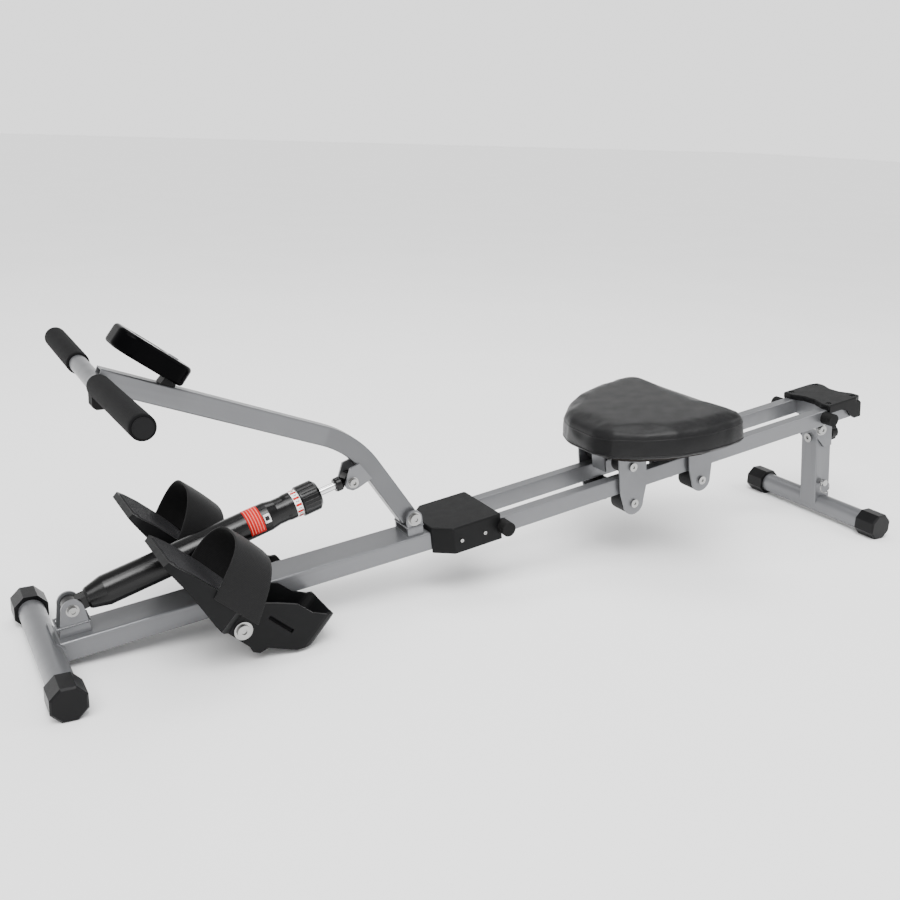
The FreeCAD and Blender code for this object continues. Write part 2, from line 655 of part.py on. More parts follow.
def rod_pin_ends():
    """Bolt head and nut on the outer faces of the rod bracket."""
    face = "(ear_gap / 2 + ear_thick)"
    head = rod("rod_head", "Y", "6.8", "5", "pin_span", "0 - %s - 3.1" % face)
    stubs = [rod("rod_stub%d" % i, "Y", "pivot_r - 0.05", "ear_thick", "pin_span",
                 "%s * (ear_gap / 2 + ear_thick / 2)" % sign) for i, sign in enumerate(("-1", "1"))]
    dent = rod("rod_dent", "Y", "3.2", "3", "pin_span", "0 - %s - 4.6" % face)
    washer = rod("rod_washer", "Y", "8.6", "0.6", "pin_span", "0 - %s - 0.3" % face)
    nut = doc.addObject("Part::Prism", "rod_nut")
    nut.Polygon = 6
    nut.Circumradius = 8
    nut.Height = 6
    nut.Placement.Rotation = Rotation(Vector(1, 0, 0), -90)
    nut.setExpression("Placement.Base.x", bound("pin_span"))
    nut.setExpression("Placement.Base.y", bound(face))
    right = cut("rod_right", fused("rod_right_whole", [head, washer, stubs[0]]), dent)
    left = fused("rod_left", [nut, stubs[1]])
    keep(together("rod_pin_ends", [right, left]), "rod_pin_ends", cylinder_frame())


# ---------------------------------------------------------------- display


def rounded_plate(body, role, offset, x, y, corner, height, back=False):
    """A plate with four rounded corners, centred on the frame."""
    plan = outline(sketch(body, role, offset),
                   rectangle("0 - (%s) / 2" % x, "(%s) / 2" % x, "0 - (%s) / 2" % y, "(%s) / 2" % y))
    solid = pad(body, plan, height, "One side", back)
    return soften(body, solid, lambda e: runs_along(e, "Z"), corner)


def display_housing():
    body = new_body("display_housing", pod_frame())
    solid = rounded_plate(body, "XY_Plane", "0 - pod_thick / 2", "pod_long", "pod_wide", "30", "pod_thick")
    top, bottom = number("pod_thick") / 2, -number("pod_thick") / 2
    solid = soften(body, solid, lambda e: lies_at(e, "Z", bottom), "5")
    soften(body, solid, lambda e: lies_at(e, "Z", top), "6")
    window = outline(sketch(body, "XY_Plane", "pod_thick / 2 - 2"),
                     rectangle("0 - 30", "14", "0 - 28", "28"))
    pocket(body, window, "3", "One side", back=True)
    key = ring(sketch(body, "XY_Plane", "pod_thick / 2 - 6"), "30", "0", "8.3")
    pocket(body, key, "7", "One side", back=True)


def display_screen():
    body = new_body("display_screen", pod_frame())
    glass = outline(sketch(body, "XY_Plane", "pod_thick / 2 - 2"),
                    rectangle("0 - 29.9", "13.9", "0 - 27.9", "27.9"))
    pad(body, glass, "1.4", "One side")


def display_button():
    body = new_body("display_button", pod_frame())
    key = ring(sketch(body, "XY_Plane", "pod_thick / 2 - 3.5"), "30", "0", "8")
    solid = pad(body, key, "4.7", "One side")
    top = number("pod_thick") / 2 + 1.2
    soften(body, solid, lambda e: lies_at(e, "Z", top), "1")


def display_stem():
    """Short foot that joins the underside of the display to the top of the arm."""
    body = new_body("display_stem", pod_frame())
    side = [("32", "0 - pod_thick / 2"), ("50", "0 - pod_thick / 2"),
            ("51", "0 - pod_thick / 2 - 5.19"), ("31", "0 - pod_thick / 2 - 10.89")]
    pad(body, outline(sketch(body, "XZ_Plane"), side), "arm_wide - 4")


# ---------------------------------------------------------------- hydraulic cylinder and rod


def cylinder_body():
    """Turned tube with a narrow front end, a chamber for the piston and a flared rear collar."""
    body = new_body("cylinder_body", cylinder_frame())
    profile = [("tube_from", "0"), ("tube_from", "tube_r - 8"), ("tube_from + 3", "tube_r - 6"),
               ("tube_full", "tube_r"), ("tube_end - 14", "tube_r"), ("tube_end", "neck_r"),
               ("neck_to", "neck_r"), ("flange_from", "flange_r"), ("flange_to", "flange_r"),
               ("flange_to", "rod_hole"), ("chamber_to", "rod_hole"), ("chamber_to", "chamber_r"),
               ("chamber_from", "chamber_r"), ("chamber_from", "0")]
    spin(body, outline(sketch(body, "XZ_Plane"), profile))


def cylinder_eye():
    """Round eye and shank at the front end of the cylinder."""
    body = new_body("cylinder_eye", cylinder_frame())
    pad(body, ring(sketch(body, "XZ_Plane"), "0", "0", "eye_r"), "eye_wide")
    shank = outline(sketch(body, "XZ_Plane"), rectangle("0", "tube_from", "0 - 9", "9"))
    pad(body, shank, "eye_wide - 2")
    pocket(body, ring(sketch(body, "XZ_Plane"), "0", "0", "pivot_r"), "eye_wide + 2")


def turned_ring(label, start, stop, inner, outer):
    body = new_body(label, cylinder_frame())
    spin(body, outline(sketch(body, "XZ_Plane"), rectangle(start, stop, inner, outer)))
    return body


def resistance_dial():
    """Ribbed knob that turns about the cylinder's axis to set the resistance."""
    body = new_body("resistance_dial", cylinder_frame())
    profile = [("dial_from", "rod_hole + 2"), ("dial_from", "dial_r - 1"), ("dial_from + 1", "dial_r"),
               ("dial_to - 5", "dial_r"), ("dial_to", "dial_r - 5"), ("dial_to", "rod_hole + 2")]
    spin(body, outline(sketch(body, "XZ_Plane"), profile))
    groove = ring(sketch(body, "YZ_Plane", "dial_from + 3"), "0", "dial_r + 0.4", "1.3")
    first = pocket(body, groove, "dial_to - dial_from - 3", "One side", back=True)
    ribs = body.newObject("PartDesign::PolarPattern", "dial_ribs")
    ribs.Originals = [first]
    ribs.Axis = ([f for f in body.Origin.OriginFeatures if f.Role == "X_Axis"][0], [""])
    ribs.Angle = 360
    ribs.Occurrences = 24
    body.Tip = ribs
    doc.recompute()


def piston_rod():
    """Polished rod with the piston at its hidden end."""
    body = new_body("piston_rod", cylinder_frame())
    profile = [("chamber_from + 6", "0"), ("chamber_from + 6", "piston_r"),
               ("chamber_from + 20", "piston_r"),
               ("chamber_from + 20", "rod_r"), ("pin_span - 12", "rod_r"), ("pin_span - 12", "0")]
    spin(body, outline(sketch(body, "XZ_Plane"), profile))


def rod_eye():
    """Collar and eye on the outer end of the rod."""
    body = new_body("rod_eye", cylinder_frame())
    collar = [("pin_span - 25", "rod_r"), ("pin_span - 25", "9.5"), ("pin_span - 22", "11"),
              ("pin_span - 15", "11"), ("pin_span - 12", "9"), ("pin_span - 12", "rod_r")]
    spin(body, outline(sketch(body, "XZ_Plane"), collar))
    pad(body, ring(sketch(body, "XZ_Plane"), "pin_span", "0", "eye_r - 0.5"), "eye_wide - 4")
    pocket(body, ring(sketch(body, "XZ_Plane"), "pin_span", "0", "pivot_r"), "eye_wide")


# ---------------------------------------------------------------- foot plates


def round_end(start, stop, low, high, radius, toward):
    """Plan outline, open at start, whose two corners at stop are rounded; toward mirrors it."""
    inward = 1 if stop > start else -1
    points = [("%g" % start, low)]
    for level, sign, turns in ((low, "+", range(7)), (high, "-", range(6, -1, -1))):
        for i in turns:
            angle = math.radians(15 * i)
            along = stop - inward * radius * (1 - math.sin(angle))
            edge = radius * (1 - math.cos(angle))
            points.append(("%.3f" % along, "%s %s %.3f" % (level, sign, edge)))
    points.append(("%g" % start, high))
    return [(x, "%s * (%s)" % (toward, y)) for x, y in points]


def foot_plate(label, side):
    """Moulded foot plate: wide tread, narrower heel cup, skirts below and a boss on the axle."""
    body = new_body(label, pedal_frame(side))
    toward = "1" if side > 0 else "-1"
    wide_mid = "%s * pedal_wide / -2" % toward
    heel_mid = "%s * heel_wide / -2" % toward
    profile = [("0 - 165", "33"), ("0 - 166", "24"), ("0 - 122", "14"), ("0 - 90", "4"),
               ("0 - 60", "0 - 6"), ("0 - 32", "0 - 13"), ("24", "0 - 15"), ("34", "0 - 19"),
               ("44", "0 - 15"), ("50", "0 - 3"), ("90", "14"), ("114", "34"), ("113", "66"),
               ("107", "90"), ("98", "80"), ("76", "71"), ("47", "70"), ("18", "56"),
               ("0 - 14", "38"), ("0 - 34", "33"), ("0 - 80", "36"), ("0 - 130", "36")]
    solid = pad(body, outline(sketch(body, "XZ_Plane", wide_mid), profile), "pedal_wide")
    soften(body, solid, lambda e: near_point(e, "Y", 47, 70) or near_point(e, "Y", 107, 90), "4")
    flare = outline(sketch(body, "XY_Plane"),
                    [("0 - 48", "%s * (pedal_wide + 2)" % toward), ("0 - 17", "%s * heel_wide" % toward),
                     ("130", "%s * heel_wide" % toward), ("130", "%s * (pedal_wide + 2)" % toward)])
    pocket(body, flare, "240")
    far = "%s * (pedal_wide + 9)" % toward
    near = "%s * (0 - 9)" % toward
    heel = round_end(70, 114.5, "0", "heel_wide", 20, toward)
    pocket(body, outline(sketch(body, "XY_Plane"), heel + [("70", far), ("125", far), ("125", near),
                                                           ("70", near)]), "240")
    toe = round_end(-130, -166.5, "0", "pedal_wide", 15, toward)
    pocket(body, outline(sketch(body, "XY_Plane"), toe + [("0 - 130", far), ("0 - 175", far),
                                                          ("0 - 175", near), ("0 - 130", near)]), "240")
    cup = round_end(-33, 107.5, "heel_wall", "heel_wide - heel_wall", 16, toward)
    pocket(body, outline(sketch(body, "XY_Plane", "tread_high"), cup), "80", "One side", back=True)
    below = outline(sketch(body, "XY_Plane", "tread_high - 5"),
                    [("0 - 150", "%s * pedal_skin" % toward), ("88", "%s * pedal_skin" % toward),
                     ("88", "%s * (heel_wide - pedal_skin)" % toward),
                     ("0 - 19", "%s * (heel_wide - pedal_skin)" % toward),
                     ("0 - 50", "%s * (pedal_wide - pedal_skin)" % toward),
                     ("0 - 150", "%s * (pedal_wide - pedal_skin)" % toward)])
    pocket(body, below, "60", "One side")
    pad(body, ring(sketch(body, "XZ_Plane", heel_mid), "0", "0", "12"), "heel_wide - 1")
    bore = ring(sketch(body, "XZ_Plane", heel_mid), "0", "0", "axle_r + 0.08")
    pocket(body, bore, "heel_wide + 10")
    slot = outline(sketch(body, "XZ_Plane", "%s * (2 - heel_wide)" % toward),
                   rectangle("21", "67", "31", "37"))
    pocket(body, slot, "14")


def arch(width, height, part):
    """A place on a flat-topped arch, as formulas; part runs from 0 to 1."""
    turn = math.pi * part
    across = math.copysign(abs(math.cos(turn)) ** 0.75, math.cos(turn))
    rise = max(math.sin(turn), 0.0) ** 0.8
    return "(%s) * %.5f" % (width, across), "(%s) * %.5f" % (height, rise)


def strap(label, side):
    """Wide webbing strap that arches over the foot, screwed to both edges of the plate."""
    body = new_body(label, pedal_frame(side))
    toward = "1" if side > 0 else "-1"
    drawing = sketch(body, "YZ_Plane", "strap_from")
    middle = "pedal_wide / 2"
    outer, inner = [], []
    for i in range(17):
        y, z = arch("pedal_wide / 2 + strap_thick + 0.6", "strap_rise", i / 16)
        outer.append(("%s * (%s + %s)" % (toward, middle, y), "strap_low + " + z))
        y, z = arch("pedal_wide / 2 + 0.6", "strap_rise - strap_thick", i / 16)
        inner.append(("%s * (%s + %s)" % (toward, middle, y), "strap_low + " + z))
    outline(drawing, outer + inner[::-1])
    pad(body, drawing, "strap_to - strap_from", "One side")
    crest = "strap_low + strap_rise + 1"
    for beyond, top, foot in (("strap_from - 20", "strap_from", "strap_from + 20"),
                              ("strap_to + 40", "strap_to - 32", "strap_to")):
        slant = outline(sketch(body, "XZ_Plane"),
                        [(beyond, "0"), (foot, "0"), (foot, "strap_low"), (top, crest), (beyond, crest)])
        pocket(body, slant, "pedal_wide * 3")


# ---------------------------------------------------------------- seat and carriage


def seat_plan(inset):
    """Plan of the seat: narrow front, widest three quarters back, nearly straight rear edge."""
    half = [(-143 + inset, 38), (-130 + inset, 72), (-88, 116 - inset), (-44, 144 - inset),
            (10, 160 - inset), (60, 163 - inset), (90 - inset, 158 - inset),
            (102 - inset, 138 - inset), (104 - inset, 60)]
    right = [("front_axle + 76 + %g" % x, "0 - %g" % y) for x, y in half]
    left = [("front_axle + 76 + %g" % x, "%g" % y) for x, y in reversed(half)]
    return right + left


def seat_cushion():
    body = new_body("seat_cushion", rail_frame())
    solid = pad(body, outline(sketch(body, "XY_Plane", "seat_low"), seat_plan(0)), "seat_high - seat_low",
                "One side")
    solid = soften(body, solid, lambda e: runs_along(e, "Z"), "17")
    top, low = number("seat_high"), number("seat_low")
    solid = soften(body, solid, lambda e: lies_at(e, "Z", top), "14")
    soften(body, solid, lambda e: lies_at(e, "Z", low), "6")


def seat_board():
    body = new_body("seat_board", rail_frame())
    pad(body, outline(sketch(body, "XY_Plane", "board_high"), seat_plan(22)), "seat_low - board_high",
        "One side")


def carriage_channel():
    """Top plate between the side plates, with a guide tongue at the front and rear."""
    body = new_body("carriage_channel", rail_frame())
    top = outline(sketch(body, "XY_Plane", "board_high - 4"),
                  rectangle("front_axle - 28", "rear_axle + 26", "0 - side_in", "side_in"))
    pad(body, top, "4", "One side")
    for at in ("front_axle - 28", "rear_axle + 23"):
        web = outline(sketch(body, "XY_Plane", "2"), rectangle(at, "(%s) + 3" % at, "0 - 18", "18"))
        pad(body, web, "board_high - 5", "One side")


def side_plates(label, at, front_half, rear_half):
    """A pair of plates outside the rails, wide at the seat and round at the lower axle."""
    items = []
    for i, sign in enumerate(("1", "(0 - 1)")):
        body = doc.addObject("PartDesign::Body", "%s_%d" % (label, i))
        middle = "%s * (side_in + side_thick / 2) * -1" % sign
        side = [("%s - %s" % (at, front_half), "board_high"), ("%s - %s" % (at, front_half), "0 - 20"),
                ("%s - 21" % at, "lower_axle"), ("%s + 21" % at, "lower_axle"),
                ("%s + %s" % (at, rear_half), "0 - 20"), ("%s + %s" % (at, rear_half), "board_high")]
        pad(body, outline(sketch(body, "XZ_Plane", middle), side), "side_thick")
        pad(body, ring(sketch(body, "XZ_Plane", middle), at, "lower_axle", "21"), "side_thick")
        for level in ("upper_axle", "lower_axle"):
            pocket(body, ring(sketch(body, "XZ_Plane", middle), at, level, "4.1"), "side_thick + 2")
        items.append(body)
    keep(together(label, items), label, rail_frame())


def roller_axles():
    """Four axle bolts with round heads outside the side plates and spacer tubes between the rollers."""
    items = []
    for i, at in enumerate(("front_axle", "rear_axle")):
        for j, level in enumerate(("upper_axle", "lower_axle")):
            name = "axle%d%d" % (i, j)
            shank = rod(name + "_shank", "Y", "4", "(side_in + side_thick) * 2", at, "0", level)
            spacer = rod(name + "_spacer", "Y", "6.5", "roller_in * 2 - 1", at, "0", level)
            heads = [rod(name + "_head%d" % k, "Y", "7.5", "4", at,
                         "%s * (side_in + side_thick + 2)" % s, level)
                     for k, s in enumerate(("1", "(0 - 1)"))]
            dent = rod(name + "_dent", "Y", "2.6", "2", at, "0 - (side_in + side_thick + 3.4)", level)
            items.append(cut(name, fused(name + "_whole", [shank, spacer] + heads), dent))
    keep(together("roller_axles", items), "roller_axles", rail_frame())


def rollers(label, at, level, radius):
    """A left and a right roller on one axle."""
    items = []
    for i, sign in enumerate(("1", "(0 - 1)")):
        middle = "%s * (roller_in + roller_long / 2)" % sign
        tread = rod("%s_tread%d" % (label, i), "Y", radius, "roller_long", at, middle, level)
        bore = rod("%s_bore%d" % (label, i), "Y", "4.05", "roller_long + 2", at, middle, level)
        items.append(cut("%s_%d" % (label, i), tread, bore))
    keep(together(label, items), label, rail_frame())


# ---------------------------------------------------------------- rear leg


def leg_bracket():
    """Two plates under the rails that hold the leg's pivot bolt."""
    items = []
    for i, sign in enumerate(("1", "(0 - 1)")):
        body = doc.addObject("PartDesign::Body", "leg_bracket_%d" % i)
        middle = "%s * (post_side / 2 + 0.6 + ear_thick / 2) * -1" % sign
        side = [("post_at - 24", "0 - rail_deep"), ("post_at - 24", "0 - 67"), ("post_at - 4", "0 - 92"),
                ("post_at + 16", "0 - 92"), ("post_at + 16", "0 - rail_deep")]
        pad(body, outline(sketch(body, "XZ_Plane", middle), side), "ear_thick")
        hole = ring(sketch(body, "XZ_Plane", middle), "leg_axis", "leg_drop", "pivot_r")
        pocket(body, hole, "ear_thick + 2")
        items.append(body)
    keep(together("leg_bracket", items), "leg_bracket", rail_frame())


def leg_post():
    """Square tube from the fold pivot down to the rear foot tube."""
    body = new_body("leg_post", rail_frame())
    half = "post_side / 2"
    side = outline(sketch(body, "XZ_Plane"),
                   rectangle("post_at - " + half, "post_at + " + half, "foot_drop", "post_top"))
    solid = pad(body, side, "post_side")
    soften(body, solid, lambda e: runs_along(e, "Z"), "3")
    room = outline(sketch(body, "XZ_Plane"),
                   rectangle("post_at - %s + wall" % half, "post_at + %s - wall" % half, "foot_drop - 1",
                             "post_top - 2"))
    pocket(body, room, "post_side - wall * 2")
    pocket(body, ring(sketch(body, "XZ_Plane"), "post_at", "foot_drop", "foot_r + 0.1"), "post_side + 2")
    pocket(body, ring(sketch(body, "XZ_Plane"), "leg_axis", "leg_drop", "pivot_r + 0.03"), "post_side + 2")
    pocket(body, ring(sketch(body, "YZ_Plane", "post_at"), "0", "knob_drop", "4.1"), "post_side + 2")
    hole = ring(sketch(body, "XZ_Plane"), "post_at - 5", "foot_drop + 50", "3.6")
    pocket(body, hole, "post_side + 2")


def lock_bolt():
    """Carriage bolt from the front of the leg; the knob behind the leg clamps it."""
    half = "post_side / 2"
    shank = rod("lock_shank", "X", "4", "post_side + 14", "post_at + 7", "0", "knob_drop")
    head = rod("lock_head", "X", "9", "4.5", "post_at - %s - 2.25" % half, "0", "knob_drop")
    dent = rod("lock_dent", "X", "3.4", "3", "post_at - %s - 3.6" % half, "0", "knob_drop")
    keep(cut("lock_bolt", fused("lock_whole", [shank, head]), dent), "lock_bolt", rail_frame())


def lock_knob():
    """Five-lobed knob on the rear end of the lock bolt."""
    body = new_body("lock_knob", rail_frame())
    base = "post_at + post_side / 2 + 0.4"
    pad(body, ring(sketch(body, "YZ_Plane", base), "0", "knob_drop", "10"), "5", "One side")
    solid = pad(body, ring(sketch(body, "YZ_Plane", base + " + 5"), "0", "knob_drop", "knob_r"), "17",
                "One side")
    rear = number(base) + 22
    soften(body, solid, lambda e: lies_at(e, "X", rear), "3")
    for i in range(5):
        turn = math.radians(72 * i)
        bite = ring(sketch(body, "YZ_Plane", base + " + 4"), "(knob_r + 3.5) * %.5f" % math.cos(turn),
                    "knob_drop + (knob_r + 3.5) * %.5f" % math.sin(turn), "6.5")
        pocket(body, bite, "20", "One side", back=True)
    pocket(body, ring(sketch(body, "YZ_Plane", base + " - 1"), "0", "knob_drop", "4.1"), "15.6", "One side",
           back=True)


def pull_pin():
    """Quick-release pin through the foot of the leg with a split ring on its head."""
    at, level = "post_at - 5", "foot_drop + 50"
    shank = rod("pin_shank", "Y", "3.5", "post_side + 12", at, "0 - 2", level)
    head = rod("pin_head", "Y", "6.5", "7", at, "0 - post_side / 2 - 8.5", level)
    loop = doc.addObject("Part::Torus", "pin_loop")
    loop.Radius1 = 12
    loop.Radius2 = 1
    loop.Placement.Rotation = Rotation(Vector(1, 0, 0), 82)
    loop.setExpression("Placement.Base.x", bound(at + " + 2"))
    loop.setExpression("Placement.Base.y", bound("0 - post_side / 2 - 9.4"))
    loop.setExpression("Placement.Base.z", bound(level + " - 10"))
    keep(fused("pull_pin", [shank, head, loop]), "pull_pin", rail_frame())


# ---------------------------------------------------------------- rear pad


def rear_pad():
    """Moulded end cap over the rails: waisted front and rear edges, and skirts down the sides."""
    body = new_body("rear_pad", rail_frame())
    waist = "pad_waist"
    plan = [("pad_from", "0 - pad_half"), ("pad_from + 18", "0 - pad_half"),
            ("pad_to - 16", "0 - pad_half"),
            ("pad_to", "0 - pad_half + 6"), ("pad_to", "0 - 36"), ("pad_to - " + waist, "0 - 12"),
            ("pad_to - " + waist, "12"), ("pad_to", "36"), ("pad_to", "pad_half - 6"),
            ("pad_to - 16", "pad_half"),
            ("pad_from + 18", "pad_half"), ("pad_from", "pad_half"), ("pad_from", "40"),
            ("pad_from + " + waist, "14"), ("pad_from + " + waist, "0 - 14"), ("pad_from", "0 - 40")]
    solid = pad(body, outline(sketch(body, "XY_Plane"), plan), "pad_top", "One side")
    solid = soften(body, solid, lambda e: runs_along(e, "Z"), "4")
    top = number("pad_top")
    soften(body, solid, lambda e: lies_at(e, "Z", top), "2.5")
    end = outline(sketch(body, "YZ_Plane", "pad_to - 7"),
                  rectangle("0 - pad_half + 7", "pad_half - 7", "0 - rail_deep - 2", "1"))
    pad(body, end, "6", "One side")
    for sign in ("-1", "1"):
        skirt = outline(sketch(body, "XZ_Plane", "%s * (rail_outer + 3.4)" % sign),
                        [("pad_from + 3", "1"), ("pad_to - 5", "1"), ("pad_to - 1", "0 - 4"),
                         ("pad_to - 1", "0 - rail_deep - 2"), ("pad_to - 18", "0 - rail_deep - 2"),
                         ("pad_to - 28", "0 - 24"), ("pad_to - 38", "0 - 12"), ("pad_to - 54", "0 - 6"),
                         ("pad_from + 3", "0 - 6")])
        pad(body, skirt, "5")
    for along in ("pad_from + 11", "pad_to - 13"):
        for y in ("0 - 47", "47"):
            pocket(body, ring(sketch(body, "XY_Plane", "pad_top - 3"), along, y, "5.4"), "4", "One side",
                   back=True)


def pad_screws():
    items = []
    for i, along in enumerate(("pad_from + 11", "pad_to - 13")):
        for j, y in enumerate(("0 - 47", "47")):
            items.append(small_screw("pad_screw%d%d" % (i, j), along, y, "pad_top - 3", "Z", "1"))
    keep(together("pad_screws", items), "pad_screws", rail_frame())


# ---------------------------------------------------------------- assembly


def build():
    front, rear = bench(0, 0, number("axle_high")), bench(number("foot_spacing"), 0, number("axle_high"))
    cross_foot("front_foot_tube", front)
    cross_foot("rear_foot_tube", rear)
    for end, place in (("front", front), ("rear", rear)):
        foot_cap(end + "_cap_right", -1, place)
        foot_cap(end + "_cap_left", 1, place)
    front_beam()
    foot_saddle()
    bracket_on_beam("cylinder_bracket", number("front_pin_x"), number("front_pin_z"), "24", "20",
                    "ear_r", "ear_gap", "pivot_r")
    bracket_on_beam("arm_bracket", number("pivot_x"), number("pivot_z"), "13.5", "13.5", "arm_ear_r",
                    "arm_ear_gap", "pivot_r")
    cross_bolt("cylinder_bolt", bench(number("front_pin_x"), 0, number("front_pin_z")),
               "(ear_gap + ear_thick * 2)", head_r="6.6", nut_r="8")
    cross_bolt("arm_bolt", bench(number("pivot_x"), 0, number("pivot_z")),
               "(arm_ear_gap + ear_thick * 2)")
    pedal_axle()
    rail("rail_left", 1)
    rail("rail_right", -1)
    rail_crossmember()
    junction_spacers()
    joint_cover()
    cover_screws()
    rail_stops()
    arm_tube()
    handlebar()
    grip("grip_right", -1, "20")
    grip("grip_left", 1, "104")
    bar_plugs()
    arm_bumper()
    rod_bracket()
    rod_pin_ends()
    display_housing()
    display_screen()
    display_button()
    display_stem()
    cylinder_body()
    cylinder_eye()
    turned_ring("scale_ring", "flange_to", "scale_to", "rod_hole + 2", "scale_r")
    resistance_dial()
    piston_rod()
    rod_eye()
    for name, side in (("right", -1), ("left", 1)):
        foot_plate("foot_plate_" + name, side)
        strap("strap_" + name, side)
    seat_cushion()
    seat_board()
    carriage_channel()
    side_plates("front_side_plates", "front_axle", "28", "30")
    side_plates("rear_side_plates", "rear_axle", "27", "26")
    roller_axles()
    rollers("upper_rollers_front", "front_axle", "upper_axle", "upper_r")
    rollers("upper_rollers_rear", "rear_axle", "upper_axle", "upper_r")
    rollers("lower_rollers_front", "front_axle", "lower_axle", "lower_r")
    rollers("lower_rollers_rear", "rear_axle", "lower_axle", "lower_r")
    leg_bracket()
    leg_post()
    leg_place = rail_frame() * Placement(Vector(number("leg_axis"), 0, number("leg_drop")), Rotation())
    cross_bolt("leg_bolt", leg_place, "(post_side + 1.2 + ear_thick * 2)")
    lock_bolt()
    lock_knob()
    pull_pin()
    rear_pad()
    pad_screws()


def check_and_write():
    doc.recompute()
    for item in doc.Objects:
        wrong = [s for s in item.State if s in ("Invalid", "Error")]
        if wrong:
            raise ValueError("%s is %s" % (item.Label, wrong))
    os.makedirs("parts", exist_ok=True)
    for item in nodes:
        shape = item.Shape
        if shape.isNull() or not shape.isValid() or shape.Volume < 1:
            raise ValueError("%s has no sound solid" % item.Label)
        shape.exportStep(os.path.join("parts", item.Label + ".step"))
        print("%-22s %9.0f mm3  %d solid(s)" % (item.Label, shape.Volume, len(shape.Solids)))
    print(len(nodes), "nodes")


fill_sheet()
build()
check_and_write()
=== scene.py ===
import json
import math

import bmesh
import bpy
from mathutils import Matrix, Vector
from mathutils.bvhtree import BVHTree


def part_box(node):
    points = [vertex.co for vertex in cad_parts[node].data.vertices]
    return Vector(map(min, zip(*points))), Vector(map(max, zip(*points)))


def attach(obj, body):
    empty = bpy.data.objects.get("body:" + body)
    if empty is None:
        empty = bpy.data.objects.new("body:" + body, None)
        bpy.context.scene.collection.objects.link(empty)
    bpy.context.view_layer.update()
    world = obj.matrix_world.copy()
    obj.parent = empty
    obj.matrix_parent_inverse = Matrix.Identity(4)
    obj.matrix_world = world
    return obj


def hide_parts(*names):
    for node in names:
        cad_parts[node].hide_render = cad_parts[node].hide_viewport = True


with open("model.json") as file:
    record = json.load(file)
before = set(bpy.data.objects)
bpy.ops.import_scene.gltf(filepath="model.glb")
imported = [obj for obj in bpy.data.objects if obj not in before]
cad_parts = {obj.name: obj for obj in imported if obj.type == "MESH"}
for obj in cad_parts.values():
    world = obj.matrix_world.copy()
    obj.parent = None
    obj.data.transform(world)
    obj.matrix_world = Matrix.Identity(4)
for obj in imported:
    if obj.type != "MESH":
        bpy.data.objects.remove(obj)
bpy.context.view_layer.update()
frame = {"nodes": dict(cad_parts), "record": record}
scene = bpy.context.scene
NODES = frame["nodes"]
JOINTS = {j["name"]: j for j in frame["record"]["behaviour"]["joints"]}


# ---------------------------------------------------------------- frames and mesh helpers


def along(origin, x_axis):
    """A frame at a point whose X lies along an axis in the machine's middle plane, with Y to the left."""
    x = Vector(x_axis).normalized()
    y = Vector((0, 1, 0))
    z = x.cross(y)
    basis = Matrix((x, y, z)).transposed().to_4x4()
    return Matrix.Translation(origin) @ basis


# The leg's pivot in the rails' frame: how far along them, and how far below their top.
LEG_ALONG = 0.8546
LEG_BELOW = 0.0525
RAIL_X = Vector(JOINTS["seat_slide"]["axis"])
RAIL_Z = RAIL_X.cross(Vector((0, 1, 0)))
LEG_PIVOT = Vector(JOINTS["leg_fold"]["pos_m"])
RAIL = along(LEG_PIVOT - RAIL_X * LEG_ALONG + RAIL_Z * LEG_BELOW, RAIL_X)

CYLINDER = along(JOINTS["cylinder_tilt"]["pos_m"], JOINTS["rod_stroke"]["axis"])

BEAM_SLOPE = math.radians(7.03)
BEAM_START_HIGH = 0.039
FOOT_LOW, FOOT_HIGH = (Vector(c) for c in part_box("front_foot_tube"))
BEAM_START = Vector(((FOOT_LOW.x + FOOT_HIGH.x) / 2, 0, BEAM_START_HIGH))
BEAM = along(BEAM_START, (math.cos(BEAM_SLOPE), 0, math.sin(BEAM_SLOPE)))

SIDES = (("right", -1), ("left", 1))
PEDAL_SLOPE = math.radians(40)
PEDAL_INSIDE = 0.036
PEDALS = {}
for side, sign in SIDES:
    hinge = Vector(JOINTS["pedal_%s_tilt" % side]["pos_m"])
    inner_edge = hinge + Vector((0, sign * PEDAL_INSIDE, 0))
    PEDALS[side] = along(inner_edge, (math.cos(PEDAL_SLOPE), 0, -math.sin(PEDAL_SLOPE)))


def new_object(name, mesh, body, *materials):
    """A piece at the frame's origin that moves with a body."""
    piece = bpy.data.objects.new(name, mesh)
    scene.collection.objects.link(piece)
    for one in materials:
        mesh.materials.append(one)
    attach(piece, body)
    return piece


def mesh_from(name, points, faces, smooth=True):
    mesh = bpy.data.meshes.new(name)
    mesh.from_pydata([tuple(p) for p in points], [], faces)
    mesh.update()
    for face in mesh.polygons:
        face.use_smooth = smooth
    return mesh


def lathe(name, place, profile, steps=48):
    """A full turn about the frame's X of a profile of (x, radius) pairs, closed at both ends."""
    points, faces = [], []
    for x, radius in profile:
        for i in range(steps):
            turn = 2 * math.pi * i / steps
            points.append(place @ Vector((x, radius * math.cos(turn), radius * math.sin(turn))))
    for j in range(len(profile) - 1):
        for i in range(steps):
            k = (i + 1) % steps
            faces.append((j * steps + i, j * steps + k, (j + 1) * steps + k, (j + 1) * steps + i))
    faces.append(tuple(reversed(range(steps))))
    last = (len(profile) - 1) * steps
    faces.append(tuple(range(last, last + steps)))
    return mesh_from(name, points, faces)


